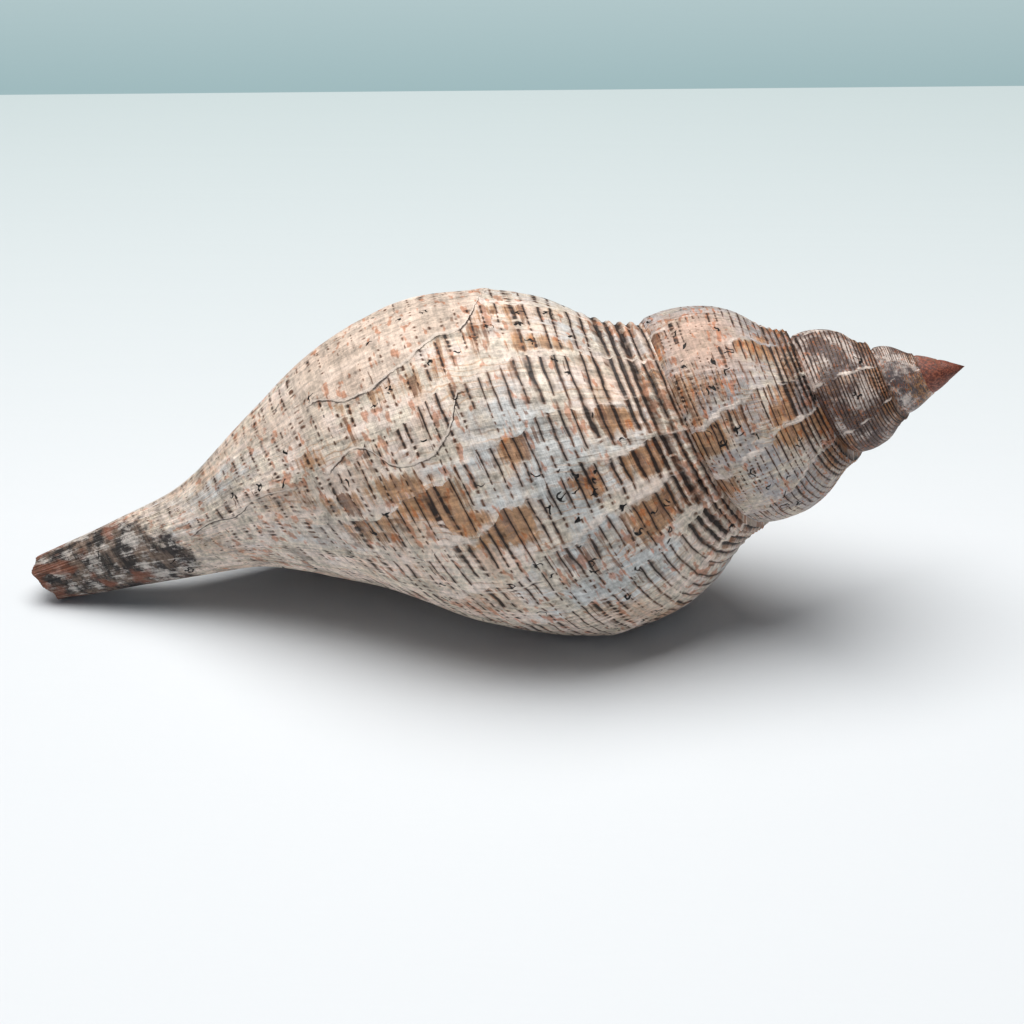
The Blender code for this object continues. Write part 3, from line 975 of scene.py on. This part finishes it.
def add_node(tree: bpy.types.NodeTree, kind: Kind, *inputs: Any,
             **settings: Any) -> bpy.types.NodeSocket:
    """Adds a shader node with its settings and links.

    Args:
        tree: The node tree it goes into.
        kind: What it is.
        inputs: A value or an output socket for each open input in order; None leaves one alone.
        settings: Further properties of the node.

    Returns:
        Its first open output.
    """
    node_type, own_settings = kind.value
    made = tree.nodes.new("ShaderNode" + node_type)
    for name, value in {**own_settings, **settings}.items():
        setattr(made, name, value)
    for socket, value in zip([s for s in made.inputs if s.enabled], inputs):
        if isinstance(value, bpy.types.NodeSocket):
            tree.links.new(value, socket)
        elif value is not None:
            socket.default_value = value
    return next(s for s in made.outputs if s.enabled)


def new_material(name: str) -> tuple[bpy.types.Material, bpy.types.NodeTree, bpy.types.Node]:
    """Starts a material.

    Args:
        name: The material's name.

    Returns:
        The material, its node tree and its surface node.
    """
    material = bpy.data.materials.new(name)
    material.use_nodes = True
    tree = material.node_tree
    return material, tree, tree.nodes["Principled BSDF"]


@dataclass
class Pattern:
    """What the mesh keeps for its finish, and noise laid out along growth lines and cords."""
    tree: bpy.types.NodeTree
    # The body is 187 mm round: 96 growth lines lie 2 mm apart there, and 132 crossings 1.4 mm
    lines_per_turn: float = 96.0
    crossings_per_turn: float = 132.0
    # Grit of 0.7 mm and stains of 3 mm, as waves to a metre
    grit_scale: float = 1500.0
    stain_scale: float = 330.0

    def __post_init__(self) -> None:
        """Reads the kept values and makes the patterns that several parts of the finish share."""
        self.station, self.cord, self.share = self.kept("coil")
        self.brown, self.grey, self.pale = self.kept("marks")
        self.soot, self.ridge, self.pitted = self.kept("wear")
        self.gap, self.window, band = self.kept("edge")
        self.lines = self.node(Kind.MULTIPLY, self.station, self.lines_per_turn)
        self.position = self.node(Kind.COORDINATES).node.outputs["Object"]
        self.mottle = self.noise(0.5, 0.35, 7.0, 4.0, 0.6)
        self.bands = self.noise(0.13, 0.05, 3.0, 3.0)
        self.fine_growth = self.noise(1.7, 0.12, 11.0, 4.0, 0.65)
        self.streaks = self.noise(0.12, 1.9, 13.0, 4.0, 0.65)
        gritty = self.node(Kind.NOISE, self.position, self.grit_scale, 3.0, 0.6)
        self.grain = self.node(Kind.SUBTRACT, gritty, 0.5)
        self.swayed = self.total(self.cord, (self.noise(0.35, 0.5, 41.0, 3.0), 0.45),
                                 (self.noise(0.03, 0.85, 61.0), 1.3))
        wavy = self.total((self.station, self.crossings_per_turn), (self.noise(0.2, 0.3, 67.0, 3.0), 3.2),
                          (self.noise(0.45, 0.02, 107.0), 2.2))
        frayed = self.total(band, (self.noise(0.3, 0.8, 137.0, 3.0), 0.24))
        self.band_row = self.node(Kind.WHOLE, frayed)
        self.phase = self.node(Kind.FRACTION, frayed)
        self.tone = self.noise(2.7, 0.10, 131.0, line=self.band_row)
        self.spire = self.node(Kind.STEP, self.station, 1.0, 1.1)
        self.weave = self.node(Kind.STEP, self.station, 1.6, 2.4, 1.0, 0.35)
        stained = self.node(Kind.NOISE, self.position, self.stain_scale, 5.0, 0.65)
        self.stains = self.node(Kind.SUBTRACT, stained, 0.5)
        self.smooth = self.node(Kind.STEP, self.station, 3.4, 4.0)
        self.growth_row = self.node(Kind.WHOLE, self.node(Kind.MULTIPLY, wavy, 0.5))
        self.crossing = self.node(Kind.SIZE, self.node(Kind.SUBTRACT, self.node(Kind.FRACTION, wavy), 0.5))

    def node(self, kind: Kind, *inputs: Any, **settings: Any) -> bpy.types.NodeSocket:
        """Adds a node to this tree."""
        return add_node(self.tree, kind, *inputs, **settings)

    def kept(self, name: str) -> list[bpy.types.NodeSocket]:
        """The three values that the mesh keeps under a name."""
        vector = self.node(Kind.ATTRIBUTE, attribute_name=name).node.outputs["Vector"]
        return list(self.node(Kind.PARTS, vector).node.outputs)

    def noise(self, along: float, across: float, seed: float, detail: float = 2.0, rough: float = 0.5,
              row: bpy.types.NodeSocket | None = None,
              line: bpy.types.NodeSocket | None = None) -> bpy.types.NodeSocket:
        """Noise to both sides of nothing.

        Args:
            along: Its scale per growth line.
            across: Its scale per cord.
            seed: Sets it apart from other noise.
            detail: How many finer layers it has.
            rough: How strong they are.
            row: Whole numbers in place of the cords, so that it steps from one to the next.
            line: The same in place of the growth lines.

        Returns:
            The noise.
        """
        where = self.node(Kind.VECTOR, self.node(Kind.MULTIPLY, line or self.lines, along),
                          self.node(Kind.MULTIPLY, row or self.cord, across), seed)
        return self.node(Kind.SUBTRACT, self.node(Kind.NOISE, where, 1.0, detail, rough), 0.5)

    def total(self, *parts: Any) -> bpy.types.NodeSocket:
        """The sum of values.

        Args:
            parts: Values or sockets, each alone or in a pair with its weight.

        Returns:
            The sum.
        """
        result: Any = 0.0
        for part in parts:
            value, weight = part if isinstance(part, tuple) else (part, 1.0)
            result = self.node(Kind.MULTIPLY_ADD, value, weight, result)
        return result

    def over(self, under: Any, colour: Any, amount: bpy.types.NodeSocket, strength: float = 1.0,
             within: Any = 1.0) -> bpy.types.NodeSocket:
        """Lays a colour over another one.

        Args:
            under: The colour below.
            colour: A hex colour or a colour socket.
            amount: Where it lies, from 0 to 1.
            strength: How much of it is laid on there.
            within: A second amount that the first one is kept within.

        Returns:
            The new colour.
        """
        factor = self.node(Kind.MULTIPLY, self.node(Kind.MULTIPLY, amount, strength), within)
        paint = linear_colour(colour) if isinstance(colour, str) else colour
        return self.node(Kind.BLEND, factor, under, paint)


# Calcite scoured by surf scatters light at once: the eye sees a chalky, matt, slightly rough surface
@dataclass(frozen=True)
class WornOuterShell:
    """Calcite shell, scoured by surf: matt cream with the dark spiral lines of its outer layer."""
    cream: str = "#efe1cf"
    pinkish: str = "#e8d5c9"
    wash: str = "#c7a183"
    blue_grey: str = "#bfc4c5"
    panel: str = "#a29d9e"
    pale: str = "#dcc6b5"
    tan: str = "#c48f5e"
    brown: str = "#734b32"
    deep_brown: str = "#35211a"
    orange: str = "#bb6426"
    line: str = "#1a1110"
    crest: str = "#e6d6ca"
    rim: str = "#efe0d3"
    # Painted shade: the dark colour laid in the crack at the foot of each broken edge
    shaded_crack: str = "#33241e"
    # Painted shade: the near-black laid inside the borer pits
    pit_shade: str = "#0d0908"
    soot: str = "#16151a"
    soot_brown: str = "#7d6a5d"
    soot_light: str = "#d2cac3"
    neck_grey: str = "#9a8d85"
    rust: str = "#8a5038"
    spire_dark: str = "#4c4043"
    spire_light: str = "#d3c6be"
    spire_pink: str = "#d3ae97"
    apex: str = "#5f2c22"
    apex_light: str = "#8f4f3b"
    roughness: float = 0.55
    gloss: float = 0.35
    # Borer trails curl every 1.6 mm and are cut short in cells of 2 mm, as waves to a metre
    curl_scale: float = 620.0
    cell_scale: float = 480.0

    def ground(self, p: Pattern) -> bpy.types.NodeSocket:
        """Cream and pinkish white, washed with tan, worn to blue-grey, and older on the spire.

        Args:
            p: The patterns.

        Returns:
            The colour of the bare shell.
        """
        colour = p.node(Kind.BLEND, p.node(Kind.STEP, p.mottle, -0.12, 0.12), linear_colour(self.cream),
                        linear_colour(self.pinkish))
        wash = p.total(p.noise(0.10, 0.22, 19.0, 3.0), (p.streaks, 0.5), (p.tone, -0.45), (p.phase, -0.06))
        colour = p.over(colour, self.wash, p.node(Kind.STEP, wash, -0.04, 0.18), 0.60)
        worn = p.total((p.grey, 0.22), (p.bands, 0.7), (p.tone, 0.45), (p.mottle, 0.6), (p.streaks, 0.4))
        colour = p.over(colour, self.blue_grey, p.node(Kind.STEP, worn, 0.02, 0.24), 0.80)
        panel = p.total((p.tone, 0.8), (p.mottle, 0.7), (p.streaks, 0.4), (p.grey, 0.1))
        colour = p.over(colour, self.panel, p.node(Kind.STEP, panel, -0.16, 0.06), 0.85, p.spire)
        spared = p.node(Kind.BLEND, p.spire, linear_colour(self.pale), linear_colour(self.spire_pink))
        colour = p.over(colour, spared, p.pale, 0.8)
        blotch = p.total((p.stains, 1.1), (p.streaks, 0.15), (p.tone, 0.5), (p.phase, -0.10), 0.03)
        old = p.node(Kind.BLEND, p.node(Kind.STEP, blotch, -0.10, 0.12), linear_colour(self.spire_dark),
                     linear_colour(self.spire_light))
        high = p.total(p.station, (p.bands, 0.8), (p.mottle, 0.6))
        return p.over(colour, old, p.node(Kind.STEP, high, 1.75, 2.05), 0.92)

    def blocks(self, p: Pattern,
               ground: bpy.types.NodeSocket) -> tuple[bpy.types.NodeSocket, bpy.types.NodeSocket]:
        """Lays the brown blocks between the spiral lines, and orange dabs.

        Args:
            p: The patterns.
            ground: The colour below.

        Returns:
            The new colour, and where the blocks are.
        """
        between = p.node(Kind.WHOLE, p.node(Kind.ADD, p.swayed, 0.5))
        by_cell = p.noise(0.33, 3.7, 17.0, 2.0, 0.55, row=between, line=p.growth_row)
        by_band = p.noise(3.3, 0.13, 149.0, line=p.band_row)
        upper = p.node(Kind.MULTIPLY, p.node(Kind.STEP, p.cord, 8.0, 4.0, 0.0, 0.16), p.spire)
        by_place = p.noise(0.17, 0.07, 23.0)
        amount = p.total((p.brown, 0.34), (by_place, 0.35), (by_band, 0.75), (by_cell, 0.50),
                         (p.streaks, 0.75), (p.ridge, -0.30), (p.pale, -0.30), (p.phase, -0.16), upper,
                         p.node(Kind.STEP, p.share, 1.45, 1.75, 0.06, -0.08))
        block = p.node(Kind.STEP, amount, 0.08, 0.23)
        deep = p.node(Kind.STEP, p.total(p.streaks, (by_cell, 0.9), (amount, 0.30)), 0.0, 0.34)
        stain = p.node(Kind.BLEND, deep, linear_colour(self.tan), linear_colour(self.brown))
        smear = p.node(Kind.STEP, p.total(p.noise(0.16, 3.1, 73.0, 3.0), (p.mottle, 0.5)), 0.05, 0.20)
        stain = p.over(stain, self.deep_brown, smear, 0.6)
        colour = p.over(ground, stain, block, 0.84)
        dabs = p.total(p.noise(0.62, 1.5, 31.0), (p.noise(0.16, 0.2, 37.0), 0.5))
        dabs = p.total(dabs, p.node(Kind.STEP, p.cord, 4.0, 1.5, 0.0, 0.07))
        return p.over(colour, self.orange, p.node(Kind.STEP, dabs, 0.08, 0.17), 0.60), block

    def spiral_lines(self, p: Pattern, colour: bpy.types.NodeSocket,
                     block: bpy.types.NodeSocket) -> bpy.types.NodeSocket:
        """Draws thin tan growth lines, and dark spiral lines that are dotted where those cross them.

        Args:
            p: The patterns.
            colour: The colour below.
            block: Where the brown blocks are.

        Returns:
            The new colour.
        """
        thin = p.node(Kind.STEP, p.crossing, 0.13, 0.04)
        seen = p.node(Kind.STEP, p.total(p.noise(0.30, 0.16, 29.0, 3.0), (p.pale, -0.2)), -0.04, 0.14)
        colour = p.over(colour, self.tan, thin, 0.50, seen)
        row = p.node(Kind.WHOLE, p.swayed)
        offset = p.node(Kind.SIZE, p.node(Kind.SUBTRACT, p.node(Kind.FRACTION, p.swayed), 0.5))
        low = p.total(p.share, (p.bands, 2.0), (p.noise(0.25, 0.2, 109.0), 1.0))
        dotted = p.node(Kind.STEP, low, 0.75, 1.15, 0.02, 0.17)
        near = p.node(Kind.STEP, p.crossing, 0.40, 0.12, -0.5, 0.5)
        first_whorls = p.node(Kind.STEP, p.station, 1.8, 2.2)
        drawn = p.total((p.noise(0.62, 5.3, 43.0, 2.0, 0.55, row=row), 0.70),
                        (p.noise(0.26, 0.35, 47.0, 2.0, 0.55, row=row), 0.45),
                        (p.noise(3.1, 0.10, 71.0, line=p.band_row), 0.5), (block, 0.10), (p.ridge, -0.14),
                        (p.pale, -0.18), p.node(Kind.SUBTRACT, 0.10, p.node(Kind.MULTIPLY, p.phase, 0.24)),
                        p.node(Kind.MULTIPLY, dotted, near),
                        p.node(Kind.STEP, p.share, 1.05, 0.74, 0.05, 0.16),
                        p.node(Kind.STEP, p.share, 1.50, 1.85, 0.0, -0.16),
                        p.node(Kind.STEP, p.cord, 6.0, 3.0, 0.0, 0.06),
                        (p.spire, -0.03), (first_whorls, 0.10),
                        p.node(Kind.STEP, p.station, 3.3, 3.8, 0.0, -1.0))
        shown = p.node(Kind.STEP, drawn, -0.06, 0.04)
        seam = p.node(Kind.STEP, p.cord, 6.0, 3.0, 0.0, 0.10)
        uneven = p.noise(0.8, 0.7, 113.0, 3.0, 0.6, row=row)
        width = p.total((drawn, 0.16), (uneven, 0.20), (first_whorls, 0.05), 0.085, seam)
        inside = p.node(Kind.SLOPE, offset, width, p.node(Kind.MULTIPLY, width, 0.45))
        core = p.node(Kind.MULTIPLY, inside, shown)
        halo = p.node(Kind.SLOPE, offset, p.node(Kind.MULTIPLY, width, 2.3), width)
        colour = p.over(colour, self.brown, halo, 0.60, shown)
        beside = p.node(Kind.SIZE, p.node(Kind.SUBTRACT, p.node(Kind.FRACTION, p.swayed), 0.78))
        second = p.total(p.noise(0.4, 4.7, 151.0, 3.0, 0.6, row=row), (p.phase, -0.10), (p.ridge, -0.2))
        thread = p.node(Kind.STEP, beside, 0.060, 0.025)
        colour = p.over(colour, self.brown, thread, 0.75, p.node(Kind.STEP, second, 0.01, 0.09))
        ink = p.node(Kind.BLEND, p.node(Kind.STEP, drawn, -0.02, 0.14), linear_colour(self.brown),
                     linear_colour(self.line))
        colour = p.over(colour, ink, core, 0.94)
        crest = p.total(p.ridge, (p.mottle, 1.6), (p.fine_growth, 0.8), (p.spire, 0.10))
        crest = p.node(Kind.STEP, crest, 0.50, 0.85)
        return p.over(colour, self.crest, crest, 0.75)

    def point(self, p: Pattern, colour: bpy.types.NodeSocket) -> bpy.types.NodeSocket:
        """Ends the first whorls in a smooth red-brown point.

        Args:
            p: The patterns.
            colour: The colour below.

        Returns:
            The new colour.
        """
        red = p.node(Kind.BLEND, p.node(Kind.STEP, p.mottle, -0.1, 0.1), linear_colour(self.apex),
                     linear_colour(self.apex_light))
        return p.over(colour, red, p.node(Kind.STEP, p.total(p.station, (p.mottle, 1.2)), 3.9, 4.5), 0.94)

    def canal(self, p: Pattern, colour: bpy.types.NodeSocket) -> bpy.types.NodeSocket:
        """Blackens the canal, with paler rings, worn grey-white patches and rusty edges.

        Args:
            p: The patterns.
            colour: The colour below.

        Returns:
            The new colour.
        """
        neck = p.node(Kind.STEP, p.total(p.share, (p.bands, 0.8)), 1.30, 1.75)
        worn = p.total(p.noise(0.26, 0.55, 127.0, 4.0, 0.62), (p.fine_growth, 0.6))
        colour = p.over(colour, self.neck_grey, p.node(Kind.STEP, worn, 0.02, 0.16), 0.70, neck)
        colour = p.over(colour, self.crest, p.node(Kind.STEP, worn, -0.02, -0.14), 0.75, neck)
        rings = p.total(p.noise(0.03, 1.5, 59.0, 4.0, 0.6), (p.noise(0.15, 0.6, 157.0), 0.6))
        smoke = p.node(Kind.BLEND, p.node(Kind.STEP, rings, -0.08, 0.12), linear_colour(self.soot),
                       linear_colour(self.soot_brown))
        patches = p.total((p.noise(0.12, 0.55, 83.0, 5.0, 0.7), 1.2), (p.fine_growth, 0.4))
        smoke = p.over(smoke, self.soot_light, p.node(Kind.STEP, patches, 0.0, 0.13), 0.9)
        rusty = p.total(p.noise(0.07, 0.40, 89.0, 3.0), p.node(Kind.STEP, p.soot, 1.0, 2.0, 0.0, 0.14))
        smoke = p.over(smoke, self.rust, p.node(Kind.STEP, rusty, 0.05, 0.16), 0.8)
        patchy = p.total(p.soot, (p.noise(0.14, 0.50, 53.0, 5.0, 0.65), 1.7), (p.fine_growth, 0.5))
        return p.over(colour, smoke, p.node(Kind.STEP, patchy, 0.28, 0.58), 0.95)

    def edges(self, p: Pattern,
              colour: bpy.types.NodeSocket) -> tuple[bpy.types.NodeSocket, bpy.types.NodeSocket]:
        """Draws the broken edges: a pale rim over a crack of changing width, darkened with painted shade.

        Args:
            p: The patterns.
            colour: The colour below.

        Returns:
            The new colour, and where the crack is.
        """
        ragged = p.total(p.gap, (p.mottle, 1.0), (p.noise(1.1, 1.0, 97.0, 3.0, 0.6), 0.7))
        broken = p.node(Kind.STEP, p.noise(0.35, 0.5, 101.0), -0.10, 0.10, 0.15, 1.0)
        rim = p.node(Kind.SLOPE, p.node(Kind.SIZE, p.node(Kind.ADD, ragged, 0.28)), 0.26, 0.06)
        colour = p.over(colour, self.rim, rim, 0.65, p.window)
        # Painted shade: a dark line in the crack at the foot of the broken edge
        wide = p.node(Kind.SLOPE, p.node(Kind.SIZE, p.node(Kind.SUBTRACT, ragged, 0.05)),
                      p.node(Kind.MULTIPLY, broken, 0.20), 0.03)
        shaded_crack = p.node(Kind.MULTIPLY, wide, p.window)
        return p.over(colour, self.shaded_crack, shaded_crack, 0.85, broken), shaded_crack

    def pits(self, p: Pattern,
             colour: bpy.types.NodeSocket) -> tuple[bpy.types.NodeSocket, bpy.types.NodeSocket]:
        """Eats short curved borer pits into the shell, in clusters, filled with near-black painted shade.

        Args:
            p: The patterns.
            colour: The colour below.

        Returns:
            The new colour, and where the pits are.
        """
        curl = p.node(Kind.SUBTRACT, p.node(Kind.NOISE, p.position, self.curl_scale, 1.0, 0.5), 0.5)
        trail = p.node(Kind.STEP, p.node(Kind.SIZE, curl), 0.046, 0.022)
        cells = p.node(Kind.CELLS, p.position, self.cell_scale)
        chance = p.node(Kind.CHANNELS, cells.node.outputs["Color"])
        chosen = p.node(Kind.STEP, p.total(chance, (p.pitted, 0.40), (p.smooth, -1.0)), 0.91, 0.93)
        short = p.node(Kind.STEP, cells, 0.42, 0.34)
        shaded_pits = p.node(Kind.MULTIPLY, p.node(Kind.MULTIPLY, trail, short), chosen)
        # Painted shade: the pits are filled with near-black
        return p.over(colour, self.pit_shade, shaded_pits), shaded_pits

    def make(self) -> bpy.types.Material:
        """Builds the material.

        Returns:
            The finished material.
        """
        material, tree, surface = new_material("worn_calcite_outer_shell")
        p = Pattern(tree)
        colour, block = self.blocks(p, self.ground(p))
        colour = self.spiral_lines(p, colour, block)
        colour = self.canal(p, self.point(p, colour))
        woven = p.node(Kind.MULTIPLY, p.total((p.streaks, 1.3), (p.fine_growth, 1.3)), p.weave)
        dirt = p.total(woven, (p.grain, 1.2), (p.mottle, 1.3), (p.stains, 0.6))
        colour = p.node(Kind.TINT, 1.0, colour, p.node(Kind.ADD, dirt, 0.94))
        colour, shaded_crack = self.edges(p, colour)
        colour, shaded_pits = self.pits(p, colour)
        tree.links.new(colour, surface.inputs["Base Color"])
        # Relief too fine for the mesh, in millimetres; the first whorls are smooth
        woven = p.node(Kind.MULTIPLY, p.total((p.fine_growth, 0.26), (p.streaks, 0.22)), p.weave)
        fine = p.total(woven, (shaded_pits, -0.40), (shaded_crack, -0.25), (p.grain, 0.08), (p.mottle, 0.18))
        kept = p.node(Kind.SLOPE, p.smooth, 0.0, 1.0, 1.0, 0.12)
        bump = p.node(Kind.BUMP, 1.0, MILLIMETRE, None, p.node(Kind.MULTIPLY, fine, kept))
        tree.links.new(bump, surface.inputs["Normal"])
        surface.inputs["Roughness"].default_value = self.roughness
        surface.inputs["Specular IOR Level"].default_value = self.gloss
        return material


# The inner layer is dense and was never scoured: the eye sees soft, broad highlights, as on porcelain
@dataclass(frozen=True)
class InnerShell:
    """The inner layer of the same shell: porcelain-like, cream with a peach blush, and glossier."""
    cream: str = "#efe2d2"
    peach: str = "#dca680"
    roughness: float = 0.30
    # Its growth bands are 5 to 6 mm wide at the mouth
    bands_per_turn: float = 34.0

    def make(self) -> bpy.types.Material:
        """Builds the material.

        Returns:
            The finished material.
        """
        material, tree, surface = new_material("glossy_porcelain_inner_shell")
        p = Pattern(tree, lines_per_turn=self.bands_per_turn)
        cloud = p.noise(0.6, 0.6, 2.0, 3.0)
        growth = p.noise(2.4, 0.1, 5.0, 3.0, 0.6)
        blush = p.node(Kind.STEP, p.total(cloud, (growth, 0.5)), -0.20, 0.25)
        colour = p.node(Kind.BLEND, blush, linear_colour(self.cream), linear_colour(self.peach))
        tree.links.new(colour, surface.inputs["Base Color"])
        bump = p.node(Kind.BUMP, 0.6, MILLIMETRE, None, p.total((growth, 0.12), (cloud, 0.10)))
        tree.links.new(bump, surface.inputs["Normal"])
        surface.inputs["Roughness"].default_value = self.roughness
        return material


@dataclass(frozen=True)
class Studio:
    """The table, the ground behind it, the soft light and the camera."""
    far_left: tuple[float, float] = (-0.1279, 0.2209)
    far_right: tuple[float, float] = (0.0889, 0.2281)
    table_half: float = 1.2
    # Brushed paint on wood gives the eye an even, matt ground, with painted shade that darkens it towards
    # the far line; its grain is 4 mm wide and 170 mm long
    board_grain: tuple[float, float, float] = (6.0, 260.0, 6.0)
    board_relief: float = 0.0003
    camera_place: tuple[float, float, float] = (0.05838, -0.49066, 0.26688)
    camera_forward: tuple[float, float, float] = (-0.09894, 0.88527, -0.45443)
    camera_up: tuple[float, float, float] = (-0.01446, 0.45534, 0.89020)
    lens: float = 126.63
    sensor: float = 36.0

    def painted(self, name: str, shaded_line_code: str, lit_away_code: str, fade: float,
                roughness: float) -> bpy.types.Material:
        """A matt painted board with a faint long grain, with painted shade that darkens it towards the line
        where the boards meet.

        Args:
            name: The material's name.
            shaded_line_code: Its colour at the line, dark with painted shade.
            lit_away_code: Its lit colour away from the line.
            fade: Distance over which the painted shade fades into the lit colour.
            roughness: How matt it is.

        Returns:
            The finished material.
        """
        material, tree, surface = new_material(name)
        position = add_node(tree, Kind.COORDINATES).node.outputs["Object"]
        stretched = add_node(tree, Kind.MAPPING, position, None, None, self.board_grain)
        grain = add_node(tree, Kind.NOISE, stretched, 1.0, 3.0, 0.5)
        bump = add_node(tree, Kind.BUMP, 0.25, self.board_relief, None, grain)
        tree.links.new(bump, surface.inputs["Normal"])
        # Painted shade: the colour darkens towards the line where the boards meet
        depth = add_node(tree, Kind.PARTS, position).node.outputs["Y"]
        line_depth = 0.5 * (self.far_left[1] + self.far_right[1])
        from_shaded_line = add_node(tree, Kind.SIZE, add_node(tree, Kind.SUBTRACT, depth, line_depth))
        amount = add_node(tree, Kind.SLOPE, from_shaded_line, 0.0, fade)
        colour = add_node(tree, Kind.BLEND, amount, linear_colour(shaded_line_code), linear_colour(lit_away_code))
        tree.links.new(colour, surface.inputs["Base Color"])
        surface.inputs["Roughness"].default_value = roughness
        return material

    def stage(self) -> None:
        """Lays the white table and the pale blue ground that shows past its far edge."""
        left, right = Vector(self.far_left), Vector(self.far_right)
        along = (right - left).normalized()
        away = Vector((-along.y, along.x))
        # Painted shade on both boards: the table turns darker and bluer towards the far line, with a
        # painted bluish reflection of the ground behind, and the blue ground darkens towards the same line
        table = self.painted("white_painted_wood_with_painted_shade", "#c2cfd1", "#dfe3e7", 0.20, 0.6)
        behind = self.painted("pale_blue_painted_wood_with_painted_shade", "#8ea8ad", "#bdcdd0", 0.16, 0.8)
        for name, material, low, high in (("table", table, -self.table_half, 0.0),
                                          ("room_behind", behind, 0.0, self.table_half)):
            deselect_all()
            bpy.ops.mesh.primitive_plane_add(size=2.0)
            board = bpy.context.object
            board.name = name
            for vertex in board.data.vertices:
                depth = high if vertex.co.y > 0.0 else low
                flat = left + along * (vertex.co.x * self.table_half) + away * depth
                vertex.co = (flat.x, flat.y, 0.0)
            board.data.materials.append(material)

    def light(self, name: str, place: tuple[float, float, float], size: float, power: float,
              code: str) -> None:
        """Adds one square soft light that looks at the shell.

        Args:
            name: Its name.
            place: Where it hangs.
            size: Its side.
            power: Its strength in watts.
            code: Its colour.
        """
        deselect_all()
        bpy.ops.object.light_add(type='AREA', location=place)
        lamp = bpy.context.object
        lamp.name = name
        lamp.data.size = size
        lamp.data.energy = power
        lamp.data.color = linear_colour(code)[:3]
        lamp.rotation_euler = (Vector((0.0, 0.0, 0.02)) - Vector(place)).to_track_quat('-Z', 'Y').to_euler()

    def lights(self) -> None:
        """Hangs the lights and sets the pale surroundings."""
        self.light("window", (-0.06, 0.08, 0.85), 0.90, 12.0, "#fffdfa")
        self.light("fill", (0.10, -0.90, 0.42), 0.50, 0.6, "#e8f1ff")
        world = bpy.data.worlds.new("pale_room")
        world.use_nodes = True
        sky = world.node_tree.nodes["Background"]
        sky.inputs["Color"].default_value = linear_colour("#d3e4f0")
        sky.inputs["Strength"].default_value = 0.09
        bpy.context.scene.world = world
        bpy.context.scene.view_settings.view_transform = 'Standard'

    def camera(self) -> None:
        """Sets the camera where the photograph was taken from."""
        forward, up = Vector(self.camera_forward), Vector(self.camera_up)
        right = forward.cross(up)
        turn = Matrix((right, up, -forward)).transposed()
        deselect_all()
        bpy.ops.object.camera_add(location=self.camera_place, rotation=turn.to_euler())
        camera = bpy.context.object
        camera.name = "photo_camera"
        camera.data.lens = self.lens
        camera.data.sensor_width = self.sensor
        camera.data.clip_start = 0.01
        bpy.context.scene.camera = camera

    def build(self) -> None:
        """Sets up everything round the shell."""
        self.camera()
        self.stage()
        self.lights()


def main() -> None:
    """Builds the shell and its surroundings."""
    logging.basicConfig(level=logging.INFO, format="%(message)s")
    log = logging.getLogger("shell")
    Studio().build()
    skin = ShellSkin().build()
    skin.data.materials.clear()
    skin.data.materials.append(WornOuterShell().make())
    skin.data.materials.append(InnerShell().make())
    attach(skin, "root")
    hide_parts("shell")
    log.info("%s: %d faces", skin.name, len(skin.data.polygons))


if __name__ == "__main__":
    main()
